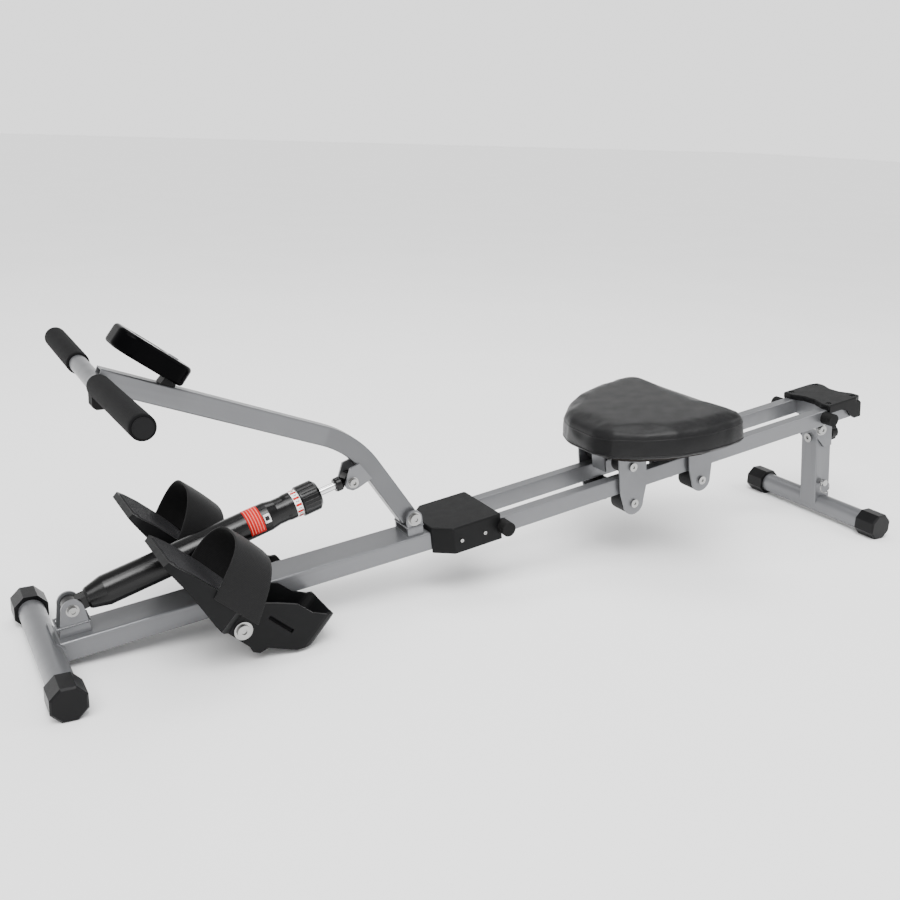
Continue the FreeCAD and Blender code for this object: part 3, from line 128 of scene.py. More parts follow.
def patch(name, place, x0, x1, radius, a0, a1, steps=24, thick=0.0002):
    """A thin label bent round the frame's X between two angles, in degrees from its -Y towards +Z."""
    points, faces = [], []
    for depth in (0.0, thick):
        for i in range(steps + 1):
            turn = math.radians(a0 + (a1 - a0) * i / steps)
            for x in (x0, x1):
                r = radius + depth
                points.append(place @ Vector((x, -r * math.cos(turn), r * math.sin(turn))))
    row = 2 * (steps + 1)
    for i in range(steps):
        a = 2 * i
        faces.append((a, a + 1, a + 3, a + 2))
        faces.append((row + a, row + a + 2, row + a + 3, row + a + 1))
        faces.append((a, a + 2, row + a + 2, row + a))
        faces.append((a + 1, row + a + 1, row + a + 3, a + 3))
    faces.append((0, row, row + 1, 1))
    end = 2 * steps
    faces.append((end, end + 1, row + end + 1, row + end))
    return mesh_from(name, points, faces)


def soft_edges(node, width, segments=2):
    """Small rounded edges on a hard part, as a modifier."""
    bevel = NODES[node].modifiers.new("edges", "BEVEL")
    bevel.width = width
    bevel.segments = segments
    bevel.limit_method = "ANGLE"
    bevel.angle_limit = math.radians(35)
    bevel.harden_normals = False


# ---------------------------------------------------------------- materials


class Finish:
    """A material with helpers that chain texture nodes into the surface shader."""

    def __init__(self, name, rough, metallic=0.0, **sockets):
        self.material = bpy.data.materials.new(name)
        self.material.use_nodes = True
        self.tree = self.material.node_tree
        self.shader = self.tree.nodes["Principled BSDF"]
        self.shader.inputs["Roughness"].default_value = rough
        self.shader.inputs["Metallic"].default_value = metallic
        for socket, value in sockets.items():
            self.shader.inputs[socket.replace("_", " ")].default_value = value
        self.where = self.add("ShaderNodeTexCoord").outputs["Object"]
        self.normal = None

    def add(self, kind, **settings):
        """A node of a kind, with its properties or input values set."""
        node = self.tree.nodes.new(kind)
        for key, value in settings.items():
            if hasattr(node, key):
                setattr(node, key, value)
            else:
                node.inputs[key].default_value = value
        return node

    def join(self, out, into):
        self.tree.links.new(out, into)

    def noise(self, scale, detail=3.0, stretch=None):
        node = self.add("ShaderNodeTexNoise", Scale=scale, Detail=detail)
        source = self.where
        if stretch:
            spread = self.add("ShaderNodeMapping")
            spread.inputs["Scale"].default_value = stretch
            self.join(source, spread.inputs["Vector"])
            source = spread.outputs["Vector"]
        self.join(source, node.inputs["Vector"])
        return node.outputs["Fac"]

    def ramp(self, value, low, high, a, b):
        """Colour a below low, colour b above high."""
        node = self.add("ShaderNodeValToRGB")
        node.color_ramp.elements[0].position = low
        node.color_ramp.elements[1].position = high
        node.color_ramp.elements[0].color = (*a, 1)
        node.color_ramp.elements[1].color = (*b, 1)
        self.join(value, node.inputs["Fac"])
        return node.outputs["Color"]

    def span(self, value, low, high, to_low, to_high):
        """Maps a value from one range to another, clamped at both ends."""
        node = self.add("ShaderNodeMapRange")
        for key, number in (("From Min", low), ("From Max", high), ("To Min", to_low), ("To Max", to_high)):
            node.inputs[key].default_value = number
        self.join(value, node.inputs["Value"])
        return node.outputs["Result"]

    def blend(self, amount, a, b):
        node = self.add("ShaderNodeMix", data_type="RGBA")
        self.join(amount, node.inputs["Factor"])
        for socket, source in ((node.inputs[6], a), (node.inputs[7], b)):
            if isinstance(source, tuple):
                socket.default_value = (*source, 1)
            else:
                self.join(source, socket)
        return node.outputs[2]

    def colour(self, out):
        self.join(out, self.shader.inputs["Base Color"])

    def rough(self, out):
        self.join(out, self.shader.inputs["Roughness"])

    def bump(self, height, distance, strength=1.0):
        node = self.add("ShaderNodeBump", Strength=strength, Distance=distance)
        self.join(height, node.inputs["Height"])
        if self.normal:
            self.join(self.normal, node.inputs["Normal"])
        self.normal = node.outputs["Normal"]
        self.join(self.normal, self.shader.inputs["Normal"])

    def painted_edge_highlight(self, base, edge_highlight_colour):
        """A painted highlight: a lighter colour on convex edges, the base colour elsewhere."""
        shape = self.add("ShaderNodeNewGeometry")
        amount = self.span(shape.outputs["Pointiness"], 0.53, 0.62, 0.0, 0.55)
        return self.blend(amount, base, edge_highlight_colour)


def shade(colour, factor):
    return tuple(min(1.0, c * factor) for c in colour)


def painted(name, colour, rough=0.34, metallic=0.6, gloss=0.12, peel=1.0, shine=0.5):
    """Satin paint over steel: fine orange peel, faint clouding and a soft clear top."""
    f = Finish(name, rough, metallic, Coat_Weight=gloss, Coat_Roughness=0.2, Specular_IOR_Level=shine)
    cloud = f.ramp(f.noise(9, 3), 0.35, 0.65, shade(colour, 0.93), shade(colour, 1.05))
    fleck = f.ramp(f.noise(2400, 1), 0.42, 0.62, shade(colour, 0.9), shade(colour, 1.12))
    mixed = f.blend(f.span(f.noise(30, 2), 0, 1, 0.25, 0.4), cloud, fleck)
    # Convex edges painted lighter: a painted highlight.
    f.colour(f.painted_edge_highlight(mixed, shade(colour, 1.7)))
    f.rough(f.span(f.noise(55, 4), 0.3, 0.7, rough - 0.04 * peel, rough + 0.05 * peel))
    f.bump(f.noise(700, 2), 0.00006, 0.5 * peel)
    f.bump(f.noise(6, 2), 0.0006, 0.12 * peel)
    return f.material


def moulded(name, colour, rough=0.5, grain=1500, depth=0.00008, patchy=0.1, shine=0.14):
    """Moulded plastic with a fine spark-eroded grain and a painted highlight on its edges."""
    f = Finish(name, rough, 0.0, Specular_IOR_Level=shine)
    cloud = f.ramp(f.noise(14, 3), 0.35, 0.65, shade(colour, 1 - patchy), shade(colour, 1 + patchy))
    # Convex edges painted lighter: a painted highlight.
    f.colour(f.painted_edge_highlight(cloud, shade(colour, 1.7)))
    f.rough(f.span(f.noise(70, 4), 0.3, 0.7, rough - 0.03, rough + 0.04))
    cells = f.add("ShaderNodeTexVoronoi", Scale=float(grain))
    f.join(f.where, cells.inputs["Vector"])
    f.bump(cells.outputs["Distance"], depth, 0.45)
    f.bump(f.noise(grain * 0.4, 2), depth, 0.3)
    return f.material


def metal(name, colour, rough=0.25, stretch=(1, 1, 1), scratch=0.00003):
    """Bare or plated metal with fine directional marks."""
    f = Finish(name, rough, 1.0)
    tone = f.ramp(f.noise(60, 4, stretch=stretch), 0.3, 0.7, shade(colour, 0.86), shade(colour, 1.08))
    # Convex edges painted lighter: a painted highlight.
    f.colour(f.painted_edge_highlight(tone, shade(colour, 1.15)))
    f.rough(f.span(f.noise(160, 4, stretch=stretch), 0.3, 0.7, rough * 0.75, rough * 1.35))
    f.bump(f.noise(900, 3, stretch=stretch), scratch, 0.4)
    return f.material


def foam(name, colour):
    """Closed-cell foam with open pores on its cut skin, with painted shade in the pores."""
    f = Finish(name, 0.88, 0.0, Sheen_Weight=0.015, Sheen_Roughness=0.6, Specular_IOR_Level=0.1)
    cells = f.add("ShaderNodeTexVoronoi", Scale=900.0)
    f.join(f.where, cells.inputs["Vector"])
    # Painted shade and highlight: pore hollows coloured darker, the rims between them lighter.
    pores = f.ramp(cells.outputs["Distance"], 0.1, 0.5, shade(colour, 0.55), shade(colour, 1.25))
    f.colour(f.blend(f.span(f.noise(25, 3), 0.3, 0.7, 0.5, 0.9), colour, pores))
    f.bump(cells.outputs["Distance"], 0.00025, 0.7)
    f.bump(f.noise(160, 3), 0.0003, 0.35)
    return f.material


def vinyl(name, colour, rough=0.42):
    """Upholstery vinyl: leather-like cells, pores and soft creasing, with painted shade in the creases."""
    f = Finish(name, rough, 0.0, Coat_Weight=0.03, Coat_Roughness=0.22, Specular_IOR_Level=0.2)
    cells = f.add("ShaderNodeTexVoronoi", Scale=520.0, feature="DISTANCE_TO_EDGE")
    warp = f.add("ShaderNodeTexNoise", Scale=60.0, Detail=2.0)
    f.join(f.where, warp.inputs["Vector"])
    shift = f.add("ShaderNodeVectorMath", operation="MULTIPLY_ADD")
    f.join(warp.outputs["Color"], shift.inputs[0])
    shift.inputs[1].default_value = (0.004, 0.004, 0.004)
    f.join(f.where, shift.inputs[2])
    f.join(shift.outputs["Vector"], cells.inputs["Vector"])
    # Painted shade: the creases between the cells are coloured darker.
    crease_shade = f.ramp(cells.outputs["Distance"], 0.0, 0.12, shade(colour, 0.7), shade(colour, 1.0))
    cloud = f.ramp(f.noise(11, 3), 0.3, 0.7, shade(colour, 0.9), shade(colour, 1.14))
    f.colour(f.blend(f.span(f.noise(35, 2), 0, 1, 0.3, 0.6), cloud, crease_shade))
    f.rough(f.span(f.noise(40, 3), 0.3, 0.7, rough - 0.03, rough + 0.04))
    f.bump(f.span(cells.outputs["Distance"], 0, 0.1, 0, 1), 0.00018, 0.5)
    f.bump(f.noise(1800, 2), 0.00006, 0.4)
    return f.material


def webbing(name, colour, pitch=0.0022):
    """Close plain weave read from the strap's own length and width map, with painted shade between the
    threads.
    """
    f = Finish(name, 0.72, 0.0, Sheen_Weight=0.06, Sheen_Roughness=0.5, Specular_IOR_Level=0.2)
    uv = f.add("ShaderNodeTexCoord").outputs["UV"]
    waves = []
    for direction in ("X", "Y"):
        wave = f.add("ShaderNodeTexWave", bands_direction=direction, Scale=0.314 / pitch, Distortion=0.15)
        f.join(uv, wave.inputs["Vector"])
        waves.append(wave.outputs["Fac"])
    crossing = f.add("ShaderNodeMath", operation="MULTIPLY")
    f.join(waves[0], crossing.inputs[0])
    f.join(waves[1], crossing.inputs[1])
    # Painted shade in the gaps between threads and a painted highlight on their raised crossings.
    thread_shade_and_highlight = f.ramp(crossing.outputs["Value"], 0.05, 0.8, shade(colour, 0.7), shade(colour, 1.2))
    f.colour(f.blend(f.span(f.noise(40, 3), 0.3, 0.7, 0.3, 0.8), colour, thread_shade_and_highlight))
    f.bump(crossing.outputs["Value"], 0.0003, 0.6)
    f.bump(f.noise(90, 3), 0.0005, 0.25)
    return f.material


SILVER = (0.112, 0.114, 0.119)
BLACK = (0.0022, 0.0023, 0.0025)

silver = painted("silver_paint", SILVER)
black_paint = painted("black_paint", (0.0015, 0.0015, 0.0017), 0.24, 0.0, 0.02, 0.3, 0.3)
plastic = moulded("black_plastic", BLACK, 0.42)
display_plastic = moulded("display_plastic", (0.0015, 0.0015, 0.0017), 0.13, 2000, 0.00001, 0.05, 0.015)
pedal_plastic = moulded("pedal_plastic", (0.0023, 0.0024, 0.0026), 0.45, 1100, 0.0001)
cap_plastic = moulded("cap_plastic", (0.002, 0.002, 0.0023), 0.34, shine=0.17)
rubber = moulded("rubber", (0.004, 0.004, 0.004), 0.7, 800, 0.00015)
roller_plastic = moulded("roller_plastic", (0.005, 0.005, 0.0055), 0.5)
plated = metal("zinc_plate", (0.34, 0.34, 0.335), 0.2)
dark_steel = metal("dark_steel", (0.03, 0.03, 0.032), 0.35)
chrome = metal("chrome", (0.78, 0.78, 0.79), 0.12, (1, 30, 30), 0.00001)
foam_grip = foam("foam_grip", (0.0022, 0.0022, 0.0025))
seat_vinyl = vinyl("seat_vinyl", (0.0034, 0.0034, 0.0038), 0.36)
# A lighter copy of the pedal plastic for the ribs: a painted highlight so they show against the dark tread.
tread_highlight_plastic = moulded("tread_highlight_plastic", (0.014, 0.014, 0.015), 0.5, 1100, 0.00006)
strap_web = webbing("strap_webbing", (0.0026, 0.0026, 0.0029))
white_print = moulded("white_print", (0.78, 0.78, 0.77), 0.45, 2000, 0.00003, 0.03)
red_print = moulded("red_print", (0.5, 0.012, 0.01), 0.42, 2000, 0.00003, 0.06, 0.08)
pale_print = moulded("pale_print", (0.72, 0.2, 0.17), 0.45, 2000, 0.00003, 0.04, 0.08)
dark_print = moulded("dark_print", (0.02, 0.02, 0.022), 0.45, 2000, 0.00003, 0.04)
plywood = moulded("stained_board", (0.012, 0.01, 0.009), 0.6, 300, 0.0002, 0.25)
display_glass = moulded("display_window", (0.05, 0.056, 0.05), 0.08, 60, 0.00001, 0.06, 0.5)
key_plastic = moulded("key_plastic", (0.16, 0.16, 0.17), 0.35)

PAINT = {
    silver: ["front_foot_tube", "rear_foot_tube", "front_beam", "foot_saddle", "cylinder_bracket",
             "arm_bracket", "rail_left", "rail_right", "rail_crossmember", "junction_spacers", "arm_tube",
             "handlebar", "leg_bracket", "leg_post", "front_side_plates", "rear_side_plates", "rod_bracket",
             "carriage_channel"],
    cap_plastic: ["front_cap_right", "front_cap_left", "rear_cap_right", "rear_cap_left", "bar_plugs",
                  "lock_knob"],
    plastic: ["joint_cover", "rear_pad", "display_stem"],
    display_plastic: ["display_housing"],
    pedal_plastic: ["foot_plate_right", "foot_plate_left"],
    rubber: ["rail_stops", "arm_bumper"],
    black_paint: ["cylinder_body", "cylinder_eye", "rod_eye", "resistance_dial"],
    white_print: ["scale_ring"],
    plated: ["cylinder_bolt", "arm_bolt", "pedal_axle", "cover_screws", "rod_pin_ends", "roller_axles",
             "leg_bolt", "lock_bolt", "pull_pin"],
    dark_steel: ["pad_screws"],
    chrome: ["piston_rod"],
    foam_grip: ["grip_right", "grip_left"],
    strap_web: ["strap_right", "strap_left"],
    seat_vinyl: ["seat_cushion"],
    plywood: ["seat_board"],
    roller_plastic: ["upper_rollers_front", "upper_rollers_rear", "lower_rollers_front",
                     "lower_rollers_rear"],
    display_glass: ["display_screen"],
    key_plastic: ["display_button"],
}


def paint_nodes():
    for material, names in PAINT.items():
        for name in names:
            mesh = NODES[name].data
            mesh.materials.clear()
            mesh.materials.append(material)


def round_edges():
    for name in ("foot_plate_right", "foot_plate_left"):
        soft_edges(name, 0.0016, 3)
    for name in ("joint_cover", "rear_pad", "lock_knob", "rod_bracket", "arm_bumper"):
        soft_edges(name, 0.0008)
    for name in ("front_side_plates", "rear_side_plates", "cylinder_bracket", "arm_bracket",
                 "leg_bracket", "carriage_channel", "roller_axles", "pedal_axle", "arm_bolt",
                 "cylinder_bolt", "leg_bolt", "rod_pin_ends", "rail_stops"):
        soft_edges(name, 0.0005)


# ---------------------------------------------------------------- seat cushion

# Heights above the top of the rails.
SEAT_BOARD_TOP = 0.046
WELT_HIGH = 0.0535
SEAM_HIGH = 0.0815

SEAT_VOXEL = 0.005
SWELL_CAP = 0.0035
SWELL_STEPS = 20


def swell(piece, cap, pinned_below):
    """Inflates a closed mesh as cloth, holds its underside, and caps how far a point may move."""
    start = [v.co.copy() for v in piece.data.vertices]
    held = piece.vertex_groups.new(name="held")
    low = [v.index for v in piece.data.vertices if rail_height(v.co) < pinned_below]
    held.add(low, 1.0, "REPLACE")
    cloth = piece.modifiers.new("Cloth", "CLOTH")
    settings = cloth.settings
    settings.quality = 6
    settings.mass = 0.3
    settings.use_pressure = True
    settings.uniform_pressure_force = 4.0
    settings.tension_stiffness = 20
    settings.compression_stiffness = 20
    settings.shear_stiffness = 10
    settings.bending_stiffness = 2
    settings.vertex_group_mass = "held"
    settings.effector_weights.gravity = 0
    cloth.point_cache.frame_start = 1
    cloth.point_cache.frame_end = SWELL_STEPS
    for step in range(1, SWELL_STEPS + 1):
        scene.frame_set(step)
    graph = bpy.context.evaluated_depsgraph_get()
    ready = bpy.data.meshes.new_from_object(piece.evaluated_get(graph))
    moved = [v.co.copy() for v in ready.vertices]
    piece.modifiers.remove(cloth)
    scene.frame_set(1)
    for vertex, before, after in zip(piece.data.vertices, start, moved):
        step = after - before
        if step.length > cap:
            step *= cap / step.length
        vertex.co = before + step
    bpy.data.meshes.remove(ready)
    piece.vertex_groups.clear()


def rail_height(point):
    """How far a point is above the top of the rails."""
    return (RAIL.inverted() @ point).z


def shrunk_copy(name, node, share):
    """A copy of a CAD node's mesh, made slightly smaller about its own middle."""
    mesh = NODES[node].data.copy()
    mesh.name = name
    low, high = (Vector(c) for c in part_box(node))
    middle = (low + high) / 2
    for vertex in mesh.vertices:
        vertex.co = middle + (vertex.co - middle) * share
    return mesh


def modify(piece, kind, **settings):
    """Applies a modifier straight away and keeps the result as the mesh."""
    change = piece.modifiers.new(kind, kind)
    for key, value in settings.items():
        setattr(change, key, value)
    graph = bpy.context.evaluated_depsgraph_get()
    ready = bpy.data.meshes.new_from_object(piece.evaluated_get(graph))
    piece.modifiers.remove(change)
    piece.data = ready
    for face in ready.polygons:
        face.use_smooth = True


def seat_cushion():
    """The upholstered pad: a slightly smaller copy, inflated, smoothed and laid on its board."""
    mesh = shrunk_copy("seat_pad", "seat_cushion", 0.988)
    mesh.materials.clear()
    pad = new_object("seat_pad", mesh, "seat", seat_vinyl)
    modify(pad, "REMESH", mode="VOXEL", voxel_size=SEAT_VOXEL)
    low = min(rail_height(v.co) for v in pad.data.vertices)
    swell(pad, SWELL_CAP, low + 0.006)
    modify(pad, "SMOOTH", factor=0.5, iterations=7)
    modify(pad, "SUBSURF", levels=1, subdivision_type="CATMULL_CLARK")
    into_rail = RAIL.inverted()
    lowest = SEAT_BOARD_TOP + 0.0004
    for vertex in pad.data.vertices:
        spot = into_rail @ vertex.co
        if spot.z < lowest:
            spot.z = lowest
            vertex.co = RAIL @ spot
    pad.data.materials.clear()
    pad.data.materials.append(seat_vinyl)
    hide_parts("seat_cushion")
    return pad


def ring_round(pad, height, out):
    """Points round a pad at one height above the rails, found by looking inwards at it."""
    steps = 180
    tree = BVHTree.FromPolygons([v.co for v in pad.data.vertices], [p.vertices for p in pad.data.polygons])
    low, high = (Vector(c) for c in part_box("seat_cushion"))
    middle = RAIL.inverted() @ ((low + high) / 2)
    points = []
    for i in range(steps):
        turn = 2 * math.pi * i / steps
        way = Vector((math.cos(turn), math.sin(turn), 0))
        start = RAIL @ (Vector((middle.x, middle.y, height)) + way * 0.4)
        hit, normal, _, _ = tree.ray_cast(start, (RAIL.to_3x3() @ -way).normalized())
        if hit:
            points.append(hit + normal * out)
    return points


def closed_line(name, points, radius, body, material, ripple=0.0):
    """A cord-like mesh round a closed line of points; ripple varies its thickness."""
    curve = bpy.data.curves.new(name, "CURVE")
    curve.dimensions = "3D"
    curve.bevel_depth = radius
    curve.bevel_resolution = 3
    spline = curve.splines.new("POLY")
    spline.points.add(len(points) - 1)
    for i, (point, spot) in enumerate(zip(spline.points, points)):
        point.co = (*spot, 1)
        point.radius = 1.0 + ripple * (math.sin(i * 2.1) + 0.5 * math.sin(i * 0.73))
    spline.use_cyclic_u = True
    line = bpy.data.objects.new(name + "_line", curve)
    scene.collection.objects.link(line)
    graph = bpy.context.evaluated_depsgraph_get()
    mesh = bpy.data.meshes.new_from_object(line.evaluated_get(graph))
    bpy.data.objects.remove(line)
    mesh.materials.clear()
    for face in mesh.polygons:
        face.use_smooth = True
    return new_object(name, mesh, body, material)


def seat_seams(pad):
    """The sewn joint between the top panel and the side band, and the welt at the foot."""
    top = closed_line("seat_seam", ring_round(pad, SEAM_HIGH, -0.0004), 0.0011, "seat", seat_vinyl)
    low = closed_line("seat_welt", ring_round(pad, WELT_HIGH, -0.0002), 0.0014, "seat", seat_vinyl)


# ---------------------------------------------------------------- grips

BAR_RADIUS = 0.0125
GRIP_END = 0.269
GRIP_RADIUS = 0.0158


def bar_frame(sign):
    """Frame along one half of the handlebar, from its middle outwards."""
    low, high = (Vector(c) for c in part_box("handlebar"))
    middle = Vector((high.x - BAR_RADIUS, 0, low.z + BAR_RADIUS))
    tip = Vector((low.x + BAR_RADIUS, sign * high.y, high.z - BAR_RADIUS))
    way = (tip - middle).normalized()
    side = way.cross(Vector((0, 0, 1))).normalized()
    up = side.cross(way)
    basis = Matrix((way, side, up)).transposed().to_4x4()
    return Matrix.Translation(middle) @ basis


def foam_grip_piece(side, sign, start):
    """A foam sleeve with rounded ends and a slight unevenness along it."""
    end = GRIP_END
    rim = ((0.0, 0.0127), (0.0, 0.0140), (0.0006, 0.0150), (0.0022, 0.0157))
    profile = [(start + x, radius) for x, radius in rim]
    run = end - start - 0.0044
    for i in range(1, 40):
        part = i / 40
        uneven = 0.00006 * math.sin(part * 23.0 + sign) * math.sin(part * math.pi)
        profile.append((start + 0.0022 + run * part, GRIP_RADIUS + uneven))
    profile += [(end - x, radius) for x, radius in reversed(rim)]
    mesh = lathe("foam_" + side, bar_frame(sign), profile)
    grip = new_object("foam_" + side, mesh, "arm", foam_grip)
    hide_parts("grip_" + side)


# ---------------------------------------------------------------- foot plates and straps


# The tread's upper line from toe to heel, as (x, z) on the foot plate.
TREAD_TOP = ((-0.162, 0.0331), (-0.130, 0.0358), (-0.105, 0.0358), (-0.080, 0.0358), (-0.036, 0.0330))
RIB_COUNT = 21
RIB_FIRST = 0.0075
RIB_PITCH = 0.0052

STRAP_MIDDLE = 0.060
STRAP_HALF = 0.0621
STRAP_FOOT = 0.024
STRAP_RISE = 0.0785
STRAP_THICK = 0.0026
# How far the top of each strap leans towards the heel.
STRAP_PUSH = {"right": 0.012, "left": -0.003}


def tread_ribs(side, sign):
    """Anti-slip ribs that follow the curve of the tread."""
    place = PEDALS[side]
    section = ((-0.0016, 0.0), (-0.0007, 0.0017), (0.0007, 0.0017), (0.0016, 0.0))
    points, faces = [], []
    for i in range(RIB_COUNT):
        y = RIB_FIRST + RIB_PITCH * i
        line = list(TREAD_TOP)
        if y < 0.014 or y > 0.106:
            line[0] = (-0.155, 0.0337)
        if y > 0.080:
            line[-1] = (-0.048 - (y - 0.080) * 0.4, 0.0340)
        first = len(points)
        for x, z in line:
            points += [place @ Vector((x, sign * (y + dy), z + dz)) for dy, dz in section]
        for k in range(len(line) - 1):
            a = first + 4 * k
            for j in range(4):
                b = (j + 1) % 4
                faces.append((a + j, a + b, a + 4 + b, a + 4 + j))
        last = first + 4 * (len(line) - 1)
        faces.append((first + 3, first + 2, first + 1, first))
        faces.append((last, last + 1, last + 2, last + 3))
    mesh = mesh_from("tread_ribs_" + side, points, faces, smooth=False)
    bm = bmesh.new()
    bm.from_mesh(mesh)
    bmesh.ops.recalc_face_normals(bm, faces=bm.faces)
    bm.to_mesh(mesh)
    bm.free()
    # The ribs take the lighter plastic, a painted highlight.
    ribs = new_object("tread_ribs_" + side, mesh, "pedal_" + side, tread_highlight_plastic)


def strap_line(part):
    """Across and up, in metres, on the arch of the strap; part runs from 0 to 1."""
    turn = math.pi * part
    across = math.copysign(abs(math.cos(turn)) ** 0.75, math.cos(turn))
    up = max(math.sin(turn), 0.0) ** 0.8
    return STRAP_MIDDLE + STRAP_HALF * across, STRAP_FOOT + STRAP_RISE * up


def strap_piece(side, sign):
    """Wide webbing strap: a leaning arch with a slight bow across it and rounded edges."""
    place = PEDALS[side]
    steps, across_steps = 72, 14
    mesh = bpy.data.meshes.new("webbing_" + side)
    bm = bmesh.new()
    uv = bm.loops.layers.uv.new("weave")
    rows, travel, last = [], 0.0, None
    for i in range(steps + 1):
        y, z = strap_line(i / steps)
        if last:
            travel += math.hypot(y - last[0], z - last[1])
        last = (y, z)
        lean = max(0.0, min(1.0, (z - STRAP_FOOT) / STRAP_RISE))
        pushed = STRAP_PUSH[side] * lean * lean
        x0 = -0.0865 - 0.020 * lean + pushed
        x1 = -0.009 - 0.030 * lean + pushed * 0.6
        row = []
        for j in range(across_steps + 1):
            x = x0 + (x1 - x0) * j / across_steps
            bow = 0.0012 * math.sin(math.pi * j / across_steps)
            spot = place @ Vector((x, sign * y, z + bow * lean))
            row.append((bm.verts.new(spot), travel, x))
        rows.append(row)
    for i in range(steps):
        for j in range(across_steps):
            corners = [rows[i][j], rows[i][j + 1], rows[i + 1][j + 1], rows[i + 1][j]]
            face = bm.faces.new([c[0] for c in corners])
            face.smooth = True
            for loop, corner in zip(face.loops, corners):
                loop[uv].uv = (corner[1], corner[2])
    bm.normal_update()
    bm.to_mesh(mesh)
    bm.free()
    strap = new_object("webbing_" + side, mesh, "pedal_" + side, strap_web)
    solid = strap.modifiers.new("thickness", "SOLIDIFY")
    solid.thickness = STRAP_THICK
    solid.offset = 0
    edges = strap.modifiers.new("edges", "BEVEL")
    edges.width = 0.0007
    edges.segments = 2
    edges.limit_method = "ANGLE"
    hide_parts("strap_" + side)


# ---------------------------------------------------------------- labels and scale

# Radii round the cylinder: its shell, the top of a label on it, and the number ring.
SHELL_RADIUS = 0.0220
LABEL_TOP = 0.02218
RING_RADIUS = 0.0206
RING_MIDDLE = 0.34525
RING_BLOCK_HALF = 0.0046


def labels():
    """A plain red band with pale rules, and a plain white tag with a dark bar."""
    marks = [("red_label", 0.264, 0.2875, SHELL_RADIUS, -30, 112, 0.0002, red_print)]
    for i in range(5):
        x = 0.2664 + 0.0043 * i
        marks.append(("label_rule_%d" % i, x, x + 0.0012, LABEL_TOP, -24, 106, 0.0001, pale_print))
    marks.append(("white_tag", 0.2890, 0.2988, SHELL_RADIUS, 0, 36, 0.0002, white_print))
    marks.append(("tag_bar", 0.2908, 0.2970, LABEL_TOP, 10, 27, 0.0001, dark_print))
    for name, x0, x1, radius, a0, a1, thick, material in marks:
        label = patch(name, CYLINDER, x0, x1, radius, a0, a1, thick=thick)
        new_object(name, label, "cylinder", material)


def dial_marks():
    """Numbers round the scale ring, with a red block between every two."""
    for i in range(12):
        degrees = 30 * i
        block = patch("block_%d" % i, CYLINDER, RING_MIDDLE - RING_BLOCK_HALF, RING_MIDDLE + RING_BLOCK_HALF,
                      RING_RADIUS - 0.00008, degrees + 10, degrees + 20, 8, 0.00012)
        piece = new_object("block_%d" % i, block, "cylinder", red_print)
        turn = math.radians(degrees)
        text = bpy.data.curves.new("mark_%d" % i, "FONT")
        text.body = str(i + 1)
        text.size = 0.0072
        text.extrude = 0.00012
        text.align_x = "CENTER"
        text.align_y = "CENTER"
        text.materials.append(dark_print)
        piece = bpy.data.objects.new("mark_%d" % i, text)
        scene.collection.objects.link(piece)
        out = Vector((0, -math.cos(turn), math.sin(turn)))
        ahead = Vector((1, 0, 0))
        right = ahead.cross(out)
        basis = Matrix((right, ahead, out)).transposed()
        if basis.determinant() < 0:
            basis = Matrix((-right, ahead, out)).transposed()
        spot = Vector((RING_MIDDLE, 0, 0)) + out * RING_RADIUS
        piece.matrix_world = CYLINDER @ (Matrix.Translation(spot) @ basis.to_4x4())
        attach(piece, "cylinder")


# ---------------------------------------------------------------- welds

BEAM_TOP = 0.0152
BEAD_RADIUS = 0.0016
BEAD_STEP = 0.0011


def weld_bead(name, place, corners, body):
    """A rippled weld bead round a closed line of corners in a frame."""
    spots = []
    for start, stop in zip(corners, corners[1:] + corners[:1]):
        a, b = Vector(start), Vector(stop)
        steps = max(2, round((b - a).length / BEAD_STEP))
        spots += [a.lerp(b, i / steps) for i in range(steps)]
    bead = closed_line(name, [place @ spot for spot in spots], BEAD_RADIUS, body, silver, 0.22)


def welds():
    """Beads where the cylinder bracket and the arm bracket stand on the beam."""
    into_beam = BEAM.inverted()
    brackets = (("cylinder", "cylinder_tilt", 0.024, 0.020, 0.0172),
                ("arm", "arm_swing", 0.0135, 0.0135, 0.0232))
    for name, joint, before, after, half in brackets:
        at = (into_beam @ Vector(JOINTS[joint]["pos_m"])).x
        front, rear = at - before, at + after
        corners = [(front, -half, BEAM_TOP), (rear, -half, BEAM_TOP),
                   (rear, half, BEAM_TOP), (front, half, BEAM_TOP)]
        weld_bead("weld_%s_bracket" % name, BEAM, corners, "frame")


# ---------------------------------------------------------------- stage


FLOOR_HALF = 30
# Each area lamp: name, place, size and power. All lamps look at a point above the machine's middle.
LAMPS = (("key", (-1.0, -1.6, 2.8), 1.2, 55),
         ("fill", (2.6, -1.4, 2.2), 1.2, 30),
         ("top", (0.2, 1.0, 3.2), 1.6, 50))
LAMP_TARGET = Vector((0, 0, 0.25))


def studio_floor():
    """A large plain pale floor."""
    far = FLOOR_HALF
    corners = [(-far, -far, 0), (far, -far, 0), (far, far, 0), (-far, far, 0)]
    mesh = mesh_from("floor", corners, [(0, 1, 2, 3)], False)
    floor = bpy.data.objects.new("floor", mesh)
    scene.collection.objects.link(floor)
    f = Finish("studio_floor", 0.9)
    f.colour(f.ramp(f.noise(2, 2), 0.3, 0.7, (0.9, 0.9, 0.9), (0.92, 0.92, 0.92)))
    mesh.materials.append(f.material)


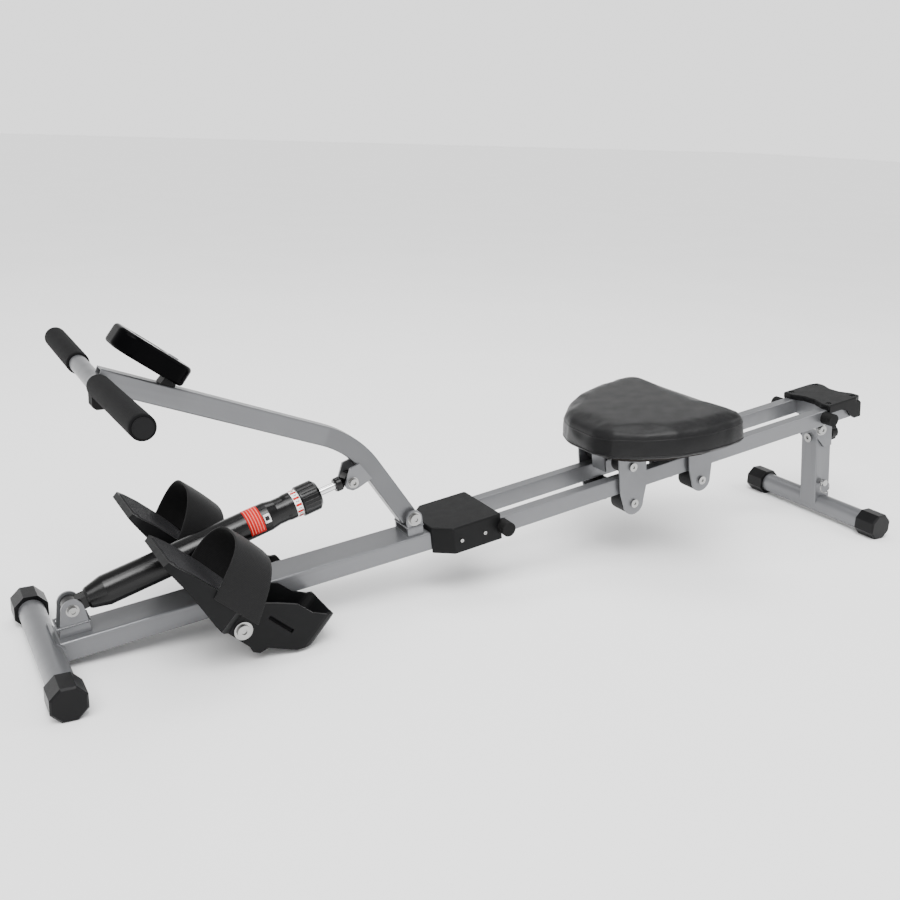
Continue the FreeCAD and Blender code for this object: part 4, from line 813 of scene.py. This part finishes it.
def studio_world():
    """Soft light from all round, brighter at the horizon than overhead."""
    world = bpy.data.worlds.new("studio")
    world.use_nodes = True
    tree = world.node_tree
    sky = tree.nodes["Background"]
    sky.inputs["Strength"].default_value = 1.0
    way = tree.nodes.new("ShaderNodeTexCoord")
    split = tree.nodes.new("ShaderNodeSeparateXYZ")
    ramp = tree.nodes.new("ShaderNodeValToRGB")
    ramp.color_ramp.elements[0].position = 0.12
    ramp.color_ramp.elements[0].color = (1.76, 1.76, 1.76, 1)
    ramp.color_ramp.elements[1].position = 0.55
    ramp.color_ramp.elements[1].color = (0.6, 0.6, 0.6, 1)
    tree.links.new(way.outputs["Generated"], split.inputs["Vector"])
    tree.links.new(split.outputs["Z"], ramp.inputs["Fac"])
    tree.links.new(ramp.outputs["Color"], sky.inputs["Color"])
    scene.world = world


def studio_lamps():
    """A very soft sun and three area lamps."""
    sun = bpy.data.lights.new("daylight", "SUN")
    sun.energy = 3.6
    sun.angle = math.radians(50)
    lamps = [("daylight", sun, (-1.2, -1.4, 3.4))]
    for name, spot, size, power in LAMPS:
        lamp = bpy.data.lights.new(name, "AREA")
        lamp.energy = power
        lamp.size = size
        lamps.append((name, lamp, spot))
    for name, lamp, spot in lamps:
        light = bpy.data.objects.new(name, lamp)
        light.location = spot
        light.rotation_euler = (LAMP_TARGET - Vector(spot)).to_track_quat("-Z", "Y").to_euler()
        scene.collection.objects.link(light)


EYE = Vector((-0.929995, -1.4104, 0.73803))
EYE_YAW = math.radians(29.91)
EYE_PITCH = math.radians(-16.96)
EYE_ROLL = math.radians(2.2)


def camera():
    """The camera at the photograph's viewing angle."""
    lens = bpy.data.cameras.new("camera")
    lens.lens = 42.517
    lens.sensor_width = 36
    lens.shift_x = -0.0005
    lens.shift_y = -0.0047
    lens.clip_end = 100
    eye = bpy.data.objects.new("camera", lens)
    level = math.cos(EYE_PITCH)
    ahead = Vector((math.sin(EYE_YAW) * level, math.cos(EYE_YAW) * level, math.sin(EYE_PITCH)))
    right = Vector((math.cos(EYE_YAW), -math.sin(EYE_YAW), 0))
    up = right.cross(ahead)
    across = right * math.cos(EYE_ROLL) + up * math.sin(EYE_ROLL)
    above = up * math.cos(EYE_ROLL) - right * math.sin(EYE_ROLL)
    basis = Matrix((across, above, -ahead)).transposed().to_4x4()
    eye.matrix_world = Matrix.Translation(EYE) @ basis
    scene.collection.objects.link(eye)
    scene.camera = eye


paint_nodes()
round_edges()
cushion = seat_cushion()
seat_seams(cushion)
foam_grip_piece("right", -1, 0.020)
foam_grip_piece("left", 1, 0.104)
for side, sign in SIDES:
    tread_ribs(side, sign)
    strap_piece(side, sign)
labels()
dial_marks()
welds()
studio_floor()
studio_world()
studio_lamps()
camera()
